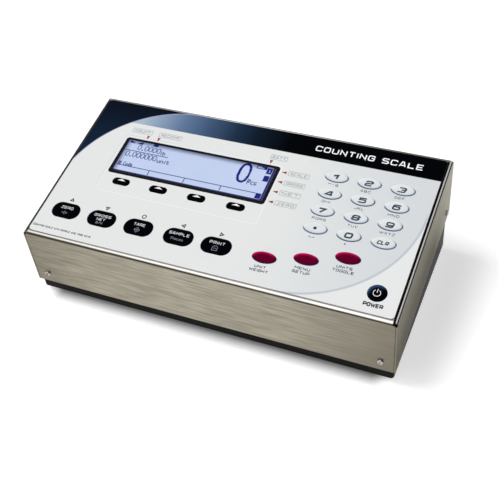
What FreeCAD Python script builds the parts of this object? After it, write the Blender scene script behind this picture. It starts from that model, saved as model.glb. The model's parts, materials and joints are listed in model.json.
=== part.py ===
"""Counting-scale console: a sloping stainless cover over a black wedge-shaped pan, with a membrane
keypad of 25 keys and a 240 x 64 dot display.

Row frame, millimetres: +X to the operator's right, +Y to the rear, +Z up. The origin is under the
middle of the whole object, on the surface that the rubber feet stand on.

Two sets of coordinates are used. "Room" coordinates are the row frame. "Panel" coordinates are
(across, up the slope, out of the panel), measured from the middle of the front face on the plane of
the keypad's seat, and on_panel() carries a shape from them to the row frame.
"""

import FreeCAD
import Part

import math
import os

V = FreeCAD.Vector

# ---- cover and pan -------------------------------------------------------------------------------
WIDTH = 301.2  # cover, side to side
SLOPE = 152.2  # cover's top, front edge to rear edge, along the slope
TILT = 9.8  # degrees that the panel rises to the rear
FACE = 52.7  # height of the cover's upright front face
PAN_SHOWS = 11.0  # height of the pan that shows below the cover's front face
FOOT_HEIGHT = 3.0
SHEET = 1.2  # stainless and pan wall thickness
BEND = 2.6  # outer radius of the cover's bends
PAN_INSET = 1.6  # pan wall inside the cover's outer face
PAN_FLOOR = 1.5
PAN_LAP = 14.0  # height of pan wall hidden inside the cover
PAN_BEND = 2.6
SEAM = 0.3  # open seam between the cover's flanges
SEAT, SEAT_GAP = 0.9, 0.15  # depth of the keypad's pressed seat in the top, and the gap round it
RELIEF_R, RELIEF_RISE = 1.25, 0.9  # corner relief at the top of each seam; how far it cuts the bend

# ---- fasteners -----------------------------------------------------------------------------------
M3_SHANK, M3_TAPPED, M3_CLEAR = 1.45, 1.5, 1.7
M3_HEAD_R, M3_HEAD_H, M3_HEAD_ROUND = 2.4, 1.6, 1.0
M4_SHANK, M4_CLEAR, M4_HEAD_R, M4_HEAD_H = 2.0, 2.15, 3.8, 1.4
M4_NUT, M4_NUT_H = 7.0, 3.2  # across flats, height
COVER_SCREW, DISPLAY_SCREW, BOARD_SCREW, FOOT_SCREW = 10.0, 5.5, 6.0, 9.0  # lengths
RIVET_FLANGE_R, RIVET_BODY_R, RIVET_BULGE_R, RIVET_LENGTH = 4.0, 2.4, 3.3, 8.0
SCREW_SIDE = 11.2  # cover screw to the nearer corner of the cover
SCREW_RISE = 9.3  # cover screw above the cover's lower edge
SLOT_WIDTH, SLOT_LENGTH, SLOT_DEPTH = 0.6, 2.5, 0.7  # the cross in a screw head
FOOT_R, FOOT_TOP_R, FOOT_ROUND = 8.2, 9.4, 0.5
FOOT_RECESS_R, FOOT_RECESS = 4.4, 1.65  # for the screw's head
FOOT_IN, FOOT_BACK = 24.0, 22.0  # foot's middle to the cover's side, and to its front or rear

# ---- keypad --------------------------------------------------------------------------------------
MARGIN = 3.5  # bare metal round the keypad
OVERLAY_ROUND = 3.0
CIRCUIT, SPACER, OVERLAY = 0.3, 0.6, 0.4  # thicknesses, from the metal outwards
KEY_LIFT = 0.5  # key crown above the overlay
KEY_TRAVEL = 0.4
KEY_GAP = 0.2  # between a key and the overlay
KEY_ROOT = 0.05  # key's underside below the overlay's
SPACER_GAP = 0.8
KEY_CROWN = 0.42  # rounding of a key's upper edge
DOME_R, DOME_RISE = 4.0, 0.1  # a snap dome pressed flat
NUMBER_KEY = (19.0, 10.8)  # ovals
RED_KEY = (19.0, 10.2)
FUNCTION_KEY = (24.2, 14.8, 7.0)  # width, height, corner radius
SOFT_KEY = (15.2, 6.8, 3.3)
POWER_KEY = 14.0
NUMBER_AT, NUMBER_PITCH = (70.3, 62.6), (25.9, 16.85)  # lower left number key, and the steps
FUNCTION_U, FUNCTION_V = (-125.7, -93.3, -60.8, -26.6, 4.8), 27.8
SOFT_AT, SOFT_PITCH = (-95.3, 66.2), 33.35
RED_AT = ((43.3, 27.6), (73.3, 34.3), (101.9, 43.2))
POWER_AT = (130.2, 20.6)

# ---- display -------------------------------------------------------------------------------------
WINDOW = (137.0, 38.9, 2.6)  # clear window in the overlay
WINDOW_AT = (-43.4, 92.8)
WINDOW_LEDGE, WINDOW_FIT, WINDOW_SUNK = 1.5, 0.05, 0.02  # hidden rim, gap round it, below the overlay
LCD_AT = (-45.7, 95.3)
LCD_VIEW = (133.0, 39.0)  # opening in the display's steel frame
LCD_FRAME = (146.0, 46.5)
LCD_GLASS = (142.0, 43.0)
LCD_BOARD = (180.0, 62.0)
LCD_HOLES = (172.0, 54.0)
LCD_ROOM = 1.0  # cover's hole, all round the frame
LCD_TOP = -0.2  # frame's front face, below the cover's outer face
LCD_SHEET = 0.4
LCD_GLASS_T = 2.2
LCD_DEEP = 9.0  # frame's depth
BOARD = 1.6
LAYER_GAP = 0.05  # between the display's loose layers
LCD_POST_R = 2.8
TAIL_SLOT = (24.0, 3.0)
TAIL_AT = (-20.0, 50.0)

# ---- rear connectors, heights above the surface that the feet stand on -----------------------------
PORT_Z = 20.0
HOLE_FIT = 0.1  # pan's hole, all round a connector's body
INLET_X, SERIAL_X, GLAND_X = 100.0, (28.0, -22.0), -100.0
INLET_FLANGE, INLET_BODY, INLET_CAVITY = (31.0, 24.0), (27.4, 20.0), (24.4, 16.6)
INLET_LIP, INLET_LONG, INLET_DEEP = 2.5, 19.0, 16.0
INLET_CHAMFER, INLET_ROUND = 4.0, 1.0
BLADES, BLADE, BLADE_SET_BACK, BLADE_TAB = ((-7.0, -2.0), (7.0, -2.0), (0.0, 2.0)), (2.0, 4.0), 2.0, 6.0
DSUB_FLANGE, DSUB_SHELL, DSUB_BODY = (30.8, 12.5), (16.9, 8.3), (19.2, 10.6)
DSUB_REACH, DSUB_LONG, DSUB_PLATE, DSUB_LEAN = 6.0, 9.0, 0.8, 10.0
JACK_PITCH, JACK_HEX, JACK_LENGTH, JACK_R, JACK_BORE, JACK_HOLE = 25.0, 4.8, 5.0, 1.5, 1.1, 1.6
GLAND_THREAD_R, GLAND_HEX, GLAND_HEX_T = 8.0, 20.0, 5.0
GLAND_CAP_R, GLAND_CAP_L, GLAND_REACH = 10.6, 13.0, 21.0
GLAND_THREAD_IN, GLAND_THREAD_OUT, GLAND_BORE, GLAND_SOCKET = 9.0, 12.0, 5.4, 6.75
GLAND_MOUTH, GLAND_LIP, GLAND_GRIP, GLAND_NUT, GLAND_NUT_T = 5.2, 2.1, 1.6, 22.0, 4.0
GLAND_FLUTES = 12
CABLE_R, SEAL_R, SEAL_LENGTH = 4.0, 6.6, 10.0

# ---- what is inside the pan, heights above its floor -----------------------------------------------
POST, POST_R, POST_IN = 8.0, 3.0, 5.0  # board standoffs, and how far in from the board's edge
CORE, WINDING, WINDING_LOW, WINDING_HIGH = (42.0, 34.0, 34.0), (30.0, 46.0), 7.0, 27.0
STRAP_WIDTH, STRAP_GAP, STRAP_FOOT = 24.0, 0.3, 8.0
HEADER = 3.0  # sockets that the flat cables plug into

# ---- worked out ----------------------------------------------------------------------------------
ANGLE = math.radians(TILT)
DEPTH = SLOPE * math.cos(ANGLE)
RAMP = math.tan(ANGLE)
Z_PAN = FOOT_HEIGHT
Z_LOW = FOOT_HEIGHT + PAN_SHOWS  # cover's front lower edge
Z_TOP = Z_LOW + FACE  # cover's front top edge
Z_SEAT = Z_TOP - SEAT / math.cos(ANGLE)  # the keypad's seat, carried forward to the front face
REAR_REACH = GLAND_REACH - PAN_INSET  # gland behind the cover's rear face
Y_FRONT = -(DEPTH + REAR_REACH - M3_HEAD_H) / 2
Y_REAR = Y_FRONT + DEPTH
Y_PAN_REAR = Y_REAR - PAN_INSET
HALF = WIDTH / 2
SKIN = CIRCUIT + SPACER + OVERLAY
KEYPAD_AT, KEYPAD = (0, SLOPE / 2), (WIDTH - 2 * MARGIN, SLOPE - 2 * MARGIN)
PAST = 9.0  # how far a cutting shape runs past what it cuts
PANEL = FreeCAD.Placement(V(0, Y_FRONT, Z_SEAT), FreeCAD.Rotation(V(1, 0, 0), TILT))

parts = {}


def add(name, *shapes):
    """Keeps one sub-part. Several shapes make a group of separate solids."""
    parts[name] = shapes[0] if len(shapes) == 1 else Part.makeCompound(list(shapes))


def on_panel(shape):
    return shape.transformed(PANEL.toMatrix())


def slope_z(y, z_front):
    """Height at depth y of a line that rises with the panel from z_front at the cover's front."""
    return z_front + (y - Y_FRONT) * RAMP


def block(x0, x1, y0, y1, z0, z1):
    return Part.makeBox(x1 - x0, y1 - y0, z1 - z0, V(x0, y0, z0))


def slab(at, size, z0, z1, corner=0.0):
    """Plate of size (width, height) centred on at, from z0 to z1, with round corners."""
    (cx, cy), (w, h) = at, size[:2]
    plate = block(cx - w / 2, cx + w / 2, cy - h / 2, cy + h / 2, z0, z1)
    if corner:
        upright = [e for e in plate.Edges if abs(e.tangentAt(e.FirstParameter).z) > 0.9]
        plate = plate.makeFillet(corner, upright)
    return plate


def oval(at, size, z0, z1):
    """Elliptical or round plate centred on at."""
    w, h = size
    if abs(w - h) < 1e-6:
        return Part.makeCylinder(w / 2, z1 - z0, V(at[0], at[1], z0))
    ellipse = Part.Ellipse(V(at[0], at[1], z0), w / 2, h / 2)
    face = Part.Face(Part.Wire([ellipse.toShape()]))
    return face.extrude(V(0, 0, z1 - z0))


def rod(radius, start, length, axis):
    return Part.makeCylinder(radius, length, start, axis)


def hexagon(across, start, length, axis):
    """Hexagonal prism, across its flats, along axis."""
    radius = across / math.sqrt(3)
    turns = [k * math.pi / 3 for k in range(7)]
    points = [V(radius * math.cos(turn), radius * math.sin(turn), 0) for turn in turns]
    prism = Part.Face(Part.makePolygon(points)).extrude(V(0, 0, length))
    turn = FreeCAD.Rotation(V(0, 0, 1), axis)
    return prism.transformed(FreeCAD.Placement(start, turn).toMatrix())


def ramp_prism(x0, x1, y0, y1, z0_of, z1_of):
    """Solid between two side planes, two upright planes and two lines z0_of(y), z1_of(y)."""
    points = [V(x0, y0, z0_of(y0)), V(x0, y1, z0_of(y1)), V(x0, y1, z1_of(y1)), V(x0, y0, z1_of(y0))]
    return Part.Face(Part.makePolygon(points + points[:1])).extrude(V(x1 - x0, 0, 0))


def pan_head_screw(start, axis, shank_length, shank=M3_SHANK, head=M3_HEAD_R, tall=M3_HEAD_H):
    """Pan-head screw with a cross, whose head sits on start and stands out along axis."""
    cap = Part.makeCylinder(head, tall)
    rim = [e for e in cap.Edges if e.BoundBox.ZMin > tall - 1e-6 and len(e.Vertexes) == 1]
    cap = cap.makeFillet(min(M3_HEAD_ROUND, tall * 0.7), rim)
    for w, h in ((SLOT_LENGTH, SLOT_WIDTH), (SLOT_WIDTH, SLOT_LENGTH)):
        cap = cap.cut(slab((0, 0), (w, h), tall - SLOT_DEPTH, tall + PAST))
    screw = cap.fuse(Part.makeCylinder(shank, shank_length, V(0, 0, -shank_length)))
    turn = FreeCAD.Rotation(V(0, 0, 1), axis)
    return screw.transformed(FreeCAD.Placement(start, turn).toMatrix())


# ---- places that several parts share ----------------------------------------------------------------
FLOOR = Z_PAN + PAN_FLOOR


def cover_screw_places():
    """(point on the cover's outer face, outward direction) of the four cover screws."""
    z_front = Z_LOW + SCREW_RISE
    y_side = Y_REAR - SCREW_SIDE
    z_side = slope_z(y_side, Z_LOW) + SCREW_RISE
    places = [(V(side * (HALF - SCREW_SIDE), Y_FRONT, z_front), V(0, -1, 0)) for side in (-1, 1)]
    return places + [(V(side * HALF, y_side, z_side), V(side, 0, 0)) for side in (-1, 1)]


FOOT_Y = (Y_FRONT + FOOT_BACK, Y_REAR - FOOT_BACK)
FOOT_PLACES = [(side * (HALF - FOOT_IN), y) for side in (-1, 1) for y in FOOT_Y]

NUMBER_NAMES = (("key_point", "key_0", "key_clear"), ("key_7", "key_8", "key_9"),
                ("key_4", "key_5", "key_6"), ("key_1", "key_2", "key_3"))
FUNCTION_NAMES = ("key_zero", "key_gross_net", "key_tare", "key_sample", "key_print")
RED_NAMES = ("key_unit_weight", "key_menu_setup", "key_units_toggle")


def key_list():
    """(name, centre, size, corner radius or None for an oval) of every key, in panel coordinates."""
    keys = []
    for row, names in enumerate(NUMBER_NAMES):
        for column, name in enumerate(names):
            at = (NUMBER_AT[0] + column * NUMBER_PITCH[0], NUMBER_AT[1] + row * NUMBER_PITCH[1])
            keys.append((name, at, NUMBER_KEY, None))
    for name, u in zip(FUNCTION_NAMES, FUNCTION_U):
        keys.append((name, (u, FUNCTION_V), FUNCTION_KEY[:2], FUNCTION_KEY[2]))
    for i in range(4):
        at = (SOFT_AT[0] + i * SOFT_PITCH, SOFT_AT[1])
        keys.append((f"soft_key_{i + 1}", at, SOFT_KEY[:2], SOFT_KEY[2]))
    keys += [(name, at, RED_KEY, None) for name, at in zip(RED_NAMES, RED_AT)]
    keys.append(("key_power", POWER_AT, (POWER_KEY, POWER_KEY), None))
    return keys


def key_plate(at, size, corner, z0, z1, grow=0.0):
    """A key's outline, made larger all round by grow, from z0 to z1."""
    size = (size[0] + 2 * grow, size[1] + 2 * grow)
    if corner is None:
        return oval(at, size, z0, z1)
    return slab(at, size, z0, z1, min(corner + grow, size[1] / 2 - 0.05))


# ---- the enclosure ----------------------------------------------------------------------------------
def top_edges(shape, w):
    """Edges of shape that lie at height w over the keypad's seat."""
    to_panel = PANEL.inverse()
    return [e for e in shape.Edges if all(abs(to_panel.multVec(v.Point).z - w) < 1e-4 for v in e.Vertexes)]


def make_cover():
    """Folded stainless cover, open underneath, with the keypad's seat pressed into its top."""
    outer = ramp_prism(-HALF, HALF, Y_FRONT, Y_REAR,
                       lambda y: slope_z(y, Z_LOW), lambda y: slope_z(y, Z_TOP))
    outer = outer.makeFillet(BEND, top_edges(outer, SEAT))
    z_under = Z_TOP - SHEET / math.cos(ANGLE)
    inner = ramp_prism(-HALF + SHEET, HALF - SHEET, Y_FRONT + SHEET, Y_REAR - SHEET,
                       lambda y: slope_z(y, Z_LOW - PAST), lambda y: slope_z(y, z_under))
    inner = inner.makeFillet(BEND - SHEET, top_edges(inner, SEAT - SHEET))
    around = 2 * (SEAT_GAP + SHEET)
    seat = slab(KEYPAD_AT, [s + around for s in KEYPAD], -SHEET, SEAT / 2, OVERLAY_ROUND)
    sunk = slab(KEYPAD_AT, [s + 2 * SEAT_GAP for s in KEYPAD], 0, PAST, OVERLAY_ROUND + SEAT_GAP)
    cover = outer.cut(inner).fuse(on_panel(seat)).cut(on_panel(sunk))
    display_hole = [s + 2 * LCD_ROOM for s in LCD_FRAME]
    cover = cover.cut(on_panel(slab(LCD_AT, display_hole, -PAST, PAST, BEND)))
    cover = cover.cut(on_panel(slab(TAIL_AT, TAIL_SLOT, -PAST, PAST, 0.45 * TAIL_SLOT[1])))
    for point, out in cover_screw_places():
        cover = cover.cut(rod(M3_CLEAR, point + out, SHEET + 2, out * -1))
    for side in (-1, 1):
        x = side * (HALF - SHEET - SEAM / 2)
        for y in (Y_FRONT + SHEET / 2, Y_REAR - SHEET / 2):
            z_seam = slope_z(y, Z_TOP) - BEND + RELIEF_RISE
            slit = block(x - SEAM / 2, x + SEAM / 2, y - SHEET, y + SHEET, 0, z_seam)
            hole = rod(RELIEF_R, V(x, y - SHEET, z_seam), 2 * SHEET, V(0, 1, 0))
            cover = cover.cut(slit).cut(hole)
    return cover.removeSplitter()


def pan_solid(inset, z_floor, bend):
    solid = ramp_prism(-HALF + inset, HALF - inset, Y_FRONT + inset, Y_REAR - inset,
                       lambda y: z_floor, lambda y: slope_z(y, Z_LOW + PAN_LAP))
    low = [e for e in solid.Edges if all(abs(v.Z - z_floor) < 1e-6 for v in e.Vertexes)]
    upright = [e for e in solid.Edges if abs(e.tangentAt(e.FirstParameter).z) > 0.99]
    return solid.makeFillet(bend, low + upright)


def dsub_outline(x, size, y0, y1):
    """The D outline of a nine-way connector, wider at the top, from y0 to y1."""
    half, h = size[0] / 2, size[1]
    lean = math.tan(math.radians(DSUB_LEAN)) * h / 2
    corners = ((lean - half, -h / 2), (half - lean, -h / 2), (half + lean, h / 2), (-half - lean, h / 2))
    points = [V(x + dx, y0, PORT_Z + dz) for dx, dz in corners]
    solid = Part.Face(Part.makePolygon(points + points[:1])).extrude(V(0, y1 - y0, 0))
    along = [e for e in solid.Edges if abs(e.tangentAt(e.FirstParameter).y) > 0.99]
    return solid.makeFillet(0.22 * h, along)


def make_pan():
    """Black wedge-shaped pan: level floor, sloping wall tops, connector holes in the rear wall."""
    pan = pan_solid(PAN_INSET, Z_PAN, PAN_BEND)
    room = pan_solid(PAN_INSET + SHEET, Z_PAN + PAN_FLOOR, PAN_BEND - SHEET)
    pan = pan.cut(room.fuse(room.translated(V(0, 0, PAST))))
    for point, out in cover_screw_places():
        pan = pan.cut(rod(RIVET_BODY_R + 0.05, point, PAST, out * -1))
    for x, y in FOOT_PLACES:
        pan = pan.cut(rod(M4_CLEAR, V(x, y, 0), PAST, V(0, 0, 1)))
    y0, y1 = Y_PAN_REAR - PAST / 2, Y_PAN_REAR + PAST / 2
    half_w, half_h = (s / 2 + HOLE_FIT for s in INLET_BODY)
    pan = pan.cut(block(INLET_X - half_w, INLET_X + half_w, y0, y1, PORT_Z - half_h, PORT_Z + half_h))
    for x in SERIAL_X:
        pan = pan.cut(dsub_outline(x, [s + 2 * HOLE_FIT for s in DSUB_BODY], y0, y1))
        for side in (-1, 1):
            pan = pan.cut(rod(JACK_HOLE, V(x + side * JACK_PITCH / 2, y0, PORT_Z), PAST, V(0, 1, 0)))
    return pan.cut(rod(GLAND_THREAD_R + HOLE_FIT, V(GLAND_X, y0, PORT_Z), PAST, V(0, 1, 0)))


def make_fasteners():
    """Cover screws, the rivet nuts that they run into, and the feet with their screws and nuts."""
    screws, nuts = [], []
    for point, out in cover_screw_places():
        screws.append(pan_head_screw(point, out, COVER_SCREW))
        wall = point - out * PAN_INSET  # pan's outer face
        flange = rod(RIVET_FLANGE_R, wall, PAN_INSET - SHEET - 0.1, out)
        body = rod(RIVET_BODY_R, wall, RIVET_LENGTH, out * -1)
        bulge = rod(RIVET_BULGE_R, wall - out * (SHEET + 0.02), 2.6, out * -1)
        nut = flange.fuse(body).fuse(bulge).removeSplitter()
        nuts.append(nut.cut(rod(M3_TAPPED, wall + out * PAST, RIVET_LENGTH + 2 * PAST, out * -1)))
    add("cover_screws", *screws)
    add("rivet_nuts", *nuts)

    feet, fixings = [], []
    up = V(0, 0, 1)
    for x, y in FOOT_PLACES:
        foot = Part.makeCone(FOOT_R, FOOT_TOP_R, FOOT_HEIGHT, V(x, y, 0))
        foot = foot.makeFillet(FOOT_ROUND, [e for e in foot.Edges if e.BoundBox.ZMax < 1e-6])
        recess = rod(FOOT_RECESS_R, V(x, y, FOOT_RECESS - PAST), PAST, up)
        feet.append(foot.cut(recess).cut(rod(M4_CLEAR, V(x, y, 0), PAST, up)))
        head = V(x, y, FOOT_RECESS)
        fixings.append(pan_head_screw(head, up * -1, FOOT_SCREW, M4_SHANK, M4_HEAD_R, M4_HEAD_H))
        nut = hexagon(M4_NUT, V(x, y, FLOOR), M4_NUT_H, up)
        fixings.append(nut.cut(rod(M4_SHANK + 0.05, V(x, y, Z_PAN), PAST, up)))
    add("rubber_feet", *feet)
    add("foot_fixings", *fixings)


# ---- the keypad -------------------------------------------------------------------------------------
def make_keypad():
    """Circuit, spacer and overlay sheets with their holes, the snap domes and the keys."""
    at, size = KEYPAD_AT, KEYPAD
    spacer_at, overlay_at = CIRCUIT, CIRCUIT + SPACER
    clear = slab(WINDOW_AT, WINDOW, -PAST, PAST, WINDOW[2])
    circuit = slab(at, size, 0, CIRCUIT, OVERLAY_ROUND).cut(clear)
    ledge = [s + 2 * WINDOW_LEDGE for s in WINDOW[:2]]
    spacer = slab(at, size, spacer_at, overlay_at, OVERLAY_ROUND)
    spacer = spacer.cut(slab(WINDOW_AT, ledge, -PAST, PAST, WINDOW[2]))
    overlay = slab(at, size, overlay_at, SKIN, OVERLAY_ROUND).cut(clear)
    domes = []
    for name, centre, outline, corner in key_list():
        spacer = spacer.cut(key_plate(centre, outline, corner, -PAST, PAST, SPACER_GAP))
        overlay = overlay.cut(key_plate(centre, outline, corner, -PAST, PAST, KEY_GAP))
        radius = min(DOME_R, 0.4 * outline[1])
        domes.append(on_panel(Part.makeCone(radius, radius / 3, DOME_RISE, V(*centre, CIRCUIT))))
        key = key_plate(centre, outline, corner, overlay_at - KEY_ROOT, SKIN + KEY_LIFT)
        crown = [e for e in key.Edges if e.BoundBox.ZMin > SKIN + KEY_LIFT - 1e-4]
        add(name, on_panel(key.makeFillet(KEY_CROWN, crown)))
    add("keypad_circuit", on_panel(circuit))
    add("keypad_spacer", on_panel(spacer))
    add("graphic_overlay", on_panel(overlay))
    add("snap_domes", *domes)
    window, flange = ([s - 2 * WINDOW_FIT for s in size] for size in (WINDOW[:2], ledge))
    window = slab(WINDOW_AT, window, spacer_at, SKIN - WINDOW_SUNK, WINDOW[2])
    flange = slab(WINDOW_AT, flange, spacer_at, overlay_at, WINDOW[2])
    add("display_window", on_panel(window.fuse(flange).removeSplitter()))


# ---- the display ------------------------------------------------------------------------------------
def make_display():
    """Display module: steel frame, glass, backlight and board, on standoffs under the cover."""
    low, corner = LCD_TOP - LCD_DEEP, 1.0
    frame = slab(LCD_AT, LCD_FRAME, low, LCD_TOP, corner)
    inside = [s - 2 * LCD_SHEET for s in LCD_FRAME]
    frame = frame.cut(slab(LCD_AT, inside, low - PAST, LCD_TOP - LCD_SHEET))
    frame = frame.cut(slab(LCD_AT, LCD_VIEW, low, PAST, corner))
    glass_top = LCD_TOP - LCD_SHEET - LAYER_GAP
    glass_low = glass_top - LCD_GLASS_T
    add("lcd_frame", on_panel(frame))
    add("lcd_glass", on_panel(slab(LCD_AT, LCD_GLASS, glass_low, glass_top)))
    add("lcd_backlight", on_panel(slab(LCD_AT, LCD_GLASS, low + LAYER_GAP, glass_low - LAYER_GAP, corner)))
    board = slab(LCD_AT, LCD_BOARD, low - BOARD, low, corner)
    posts, screws = [], []
    for sx in (-1, 1):
        for sy in (-1, 1):
            u, v = LCD_AT[0] + sx * LCD_HOLES[0] / 2, LCD_AT[1] + sy * LCD_HOLES[1] / 2
            board = board.cut(rod(M3_CLEAR, V(u, v, low - PAST), 2 * PAST, V(0, 0, 1)))
            post = rod(LCD_POST_R, V(u, v, low), -SHEET - low, V(0, 0, 1))
            posts.append(on_panel(post.cut(rod(M3_TAPPED, V(u, v, low), DISPLAY_SCREW, V(0, 0, 1)))))
            screws.append(on_panel(pan_head_screw(V(u, v, low - BOARD), V(0, 0, -1), DISPLAY_SCREW)))
    add("lcd_board", on_panel(board))
    add("display_posts", *posts)
    return screws


# ---- what is inside the pan --------------------------------------------------------------------------
MAIN = (-117.0, 27.0, Y_FRONT + 20, Y_FRONT + 116)  # main board: x0, x1, y0, y1
POWER = (46.0, 138.0, Y_FRONT + 66, Y_FRONT + 118)
BATTERY = (36.0, 118.0, Y_FRONT + 16, Y_FRONT + 56, 34.0)  # x0, x1, y0, y1, height
CABLE_BEND = 2.5
RIBBON_X = -60.0
RIBBON_START = PANEL.multVec(V(0, LCD_AT[1] - 24, LCD_TOP - LCD_DEEP - BOARD - LAYER_GAP))
RIBBON_END = RIBBON_START.y - 4
TAIL_START = PANEL.multVec(V(0, TAIL_AT[1], -LAYER_GAP))
TAIL_END = TAIL_START.y - 5


def board_on_posts(area, screws):
    """A board on four round posts. Returns the board and its posts, and adds its screws."""
    x0, x1, y0, y1 = area
    z0 = FLOOR + POST
    board, posts = block(x0, x1, y0, y1, z0, z0 + BOARD), []
    up = V(0, 0, 1)
    for x in (x0 + POST_IN, x1 - POST_IN):
        for y in (y0 + POST_IN, y1 - POST_IN):
            board = board.cut(rod(M3_CLEAR, V(x, y, FLOOR), 2 * PAST, up))
            post = rod(POST_R, V(x, y, FLOOR), POST, up)
            posts.append(post.cut(rod(M3_TAPPED, V(x, y, z0 - BOARD_SCREW), PAST, up)))
            screws.append(pan_head_screw(V(x, y, z0 + BOARD), up, BOARD_SCREW))
    return board, posts


def make_electronics(screws):
    """Main board, power board, transformer and battery on the pan's floor."""
    main, main_posts = board_on_posts(MAIN, screws)
    power, power_posts = board_on_posts(POWER, screws)
    add("main_board", main)
    add("power_board", power)
    add("board_posts", *main_posts, *power_posts)
    add("board_screws", *screws)

    top = FLOOR + POST + BOARD
    chips = [  # x and y from the main board's corner, width, depth, height
        (14, 16, 22, 22, 2.4), (48, 14, 18, 12, 2.2), (42, 60, 18, 12, 2.2), (112, 34, 14, 14, 1.8),
        (12, 66, 20, 10, 3.0), (110, 12, 26, 8, 11.0), (118, 58, 12, 26, 8.5),
        (RIBBON_X - MAIN[0] - 15, RIBBON_END - MAIN[2] - 3, 30, 6, HEADER),
        (TAIL_AT[0] - MAIN[0] - 12, TAIL_END - MAIN[2] - 3, 24, 6, HEADER)]
    made = []
    for x, y, wide, deep, tall in chips:
        x, y = MAIN[0] + x, MAIN[2] + y
        made.append(block(x, x + wide, y, y + deep, top, top + tall))
    cans = [(46, 82, 4.0, 11.0), (58, 84, 4.0, 11.0), (98, 76, 5.0, 14.0), (82, 78, 3.2, 9.0)]
    made += [rod(r, V(MAIN[0] + x, MAIN[2] + y, top), tall, V(0, 0, 1)) for x, y, r, tall in cans]
    add("board_parts", *made)

    at = ((POWER[0] + POWER[1]) / 2 - 12, (POWER[2] + POWER[3]) / 2)
    core = slab(at, CORE, top, top + CORE[2])
    winding = slab(at, WINDING, top + WINDING_LOW, top + WINDING_HIGH, WINDING[0] / 5)
    add("transformer", core.fuse(winding).removeSplitter())

    x0, x1, y0, y1, tall = BATTERY
    pack = block(x0, x1, y0, y1, FLOOR, FLOOR + tall)
    pack = pack.makeFillet(2.0, [e for e in pack.Edges if e.BoundBox.ZMin > FLOOR + 1])
    add("battery_pack", pack)
    y0, y1, z1 = y0 - STRAP_GAP, y1 + STRAP_GAP, FLOOR + tall + STRAP_GAP
    left = (x0 + x1 - STRAP_WIDTH) / 2
    right = left + STRAP_WIDTH
    strap = block(left, right, y0 - SHEET, y1 + SHEET, FLOOR, z1 + SHEET)
    strap = strap.cut(block(left - 1, right + 1, y0, y1, FLOOR - 1, z1))
    for y_low in (y0 - STRAP_FOOT, y1):
        strap = strap.fuse(block(left, right, y_low, y_low + STRAP_FOOT, FLOOR, FLOOR + SHEET))
    add("battery_strap", strap.removeSplitter())


def flat_cable(points, bend, thickness, width, x):
    """Flat cable of width along X, whose section follows straight runs joined by round bends."""
    edges, start = [], points[0]
    for before, corner, after in zip(points, points[1:], points[2:]):
        into, out = (corner - before).normalize(), (after - corner).normalize()
        turn = into.getAngle(out)
        cut = bend * math.tan(turn / 2)
        first, last = corner - into * cut, corner + out * cut
        middle = corner + (out - into).normalize() * (bend / math.cos(turn / 2) - bend)
        edges += [Part.LineSegment(start, first).toShape(), Part.Arc(first, middle, last).toShape()]
        start = last
    edges.append(Part.LineSegment(start, points[-1]).toShape())
    path = Part.Wire(edges)
    along = (points[1] - points[0]).normalize()
    side = V(0, -along.z, along.y) * (thickness / 2)
    a, b = points[0] + side, points[0] - side
    across = V(width / 2, 0, 0)
    section = Part.makePolygon([a - across, a + across, b + across, b - across, a - across])
    return path.makePipeShell([section], True, True).translated(V(x, 0, 0))


def make_cables():
    """Ribbon from the display board to the main board, and the keypad's tail through its slot."""
    for name, start, end, swing, x, width, thickness in (
            ("display_ribbon", RIBBON_START, RIBBON_END, 16.0, RIBBON_X, 26.0, 0.8),
            ("keypad_tail", TAIL_START, TAIL_END, 12.0, TAIL_AT[0], 20.0, 0.4)):
        top = FLOOR + POST + BOARD + HEADER
        straight = start - PANEL.Rotation.multVec(V(0, 0, 11))
        middle = V(0, end + swing, (straight.z + top) / 2)
        route = [start, straight, middle, V(0, end, top + PAST), V(0, end, top)]
        add(name, flat_cable(route, CABLE_BEND, thickness, width, x))


# ---- rear connectors ---------------------------------------------------------------------------------
def make_inlet():
    """Mains inlet: moulded body with a shaped socket, and three flat blades."""
    rear = Y_PAN_REAR
    (fw, fh), (bw, bh), (cw, ch) = INLET_FLANGE, INLET_BODY, INLET_CAVITY
    lip = rear + INLET_LIP

    def upright(w, h, y0, y1):
        return block(INLET_X - w / 2, INLET_X + w / 2, y0, y1, PORT_Z - h / 2, PORT_Z + h / 2)

    def along(shape):
        return [e for e in shape.Edges if abs(e.tangentAt(e.FirstParameter).y) > 0.99]

    flange = upright(fw, fh, rear, lip)
    flange = flange.makeFillet(2.5, along(flange))
    body = flange.fuse(upright(bw, bh, rear - INLET_LONG, rear)).removeSplitter()
    socket = upright(cw, ch, lip - INLET_DEEP, lip + 1)
    top = [e for e in along(socket) if e.BoundBox.ZMin > PORT_Z]
    socket = socket.makeChamfer(INLET_CHAMFER, top)
    low = [e for e in along(socket) if e.BoundBox.ZMax < PORT_Z - ch / 4]
    body = body.cut(socket.makeFillet(INLET_ROUND, low))
    blades = []
    half_w, half_h = BLADE[0] / 2, BLADE[1] / 2
    inner, tip = rear - INLET_LONG - BLADE_TAB, lip - BLADE_SET_BACK
    for x, z in BLADES:
        x, z = INLET_X + x, PORT_Z + z
        blade = block(x - half_w, x + half_w, inner, tip, z - half_h, z + half_h)
        body = body.cut(blade)
        blades.append(blade.makeChamfer(0.5, [e for e in blade.Edges if e.BoundBox.YMin > tip - 0.1]))
    add("mains_inlet", body)
    add("inlet_blades", *blades)


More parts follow.
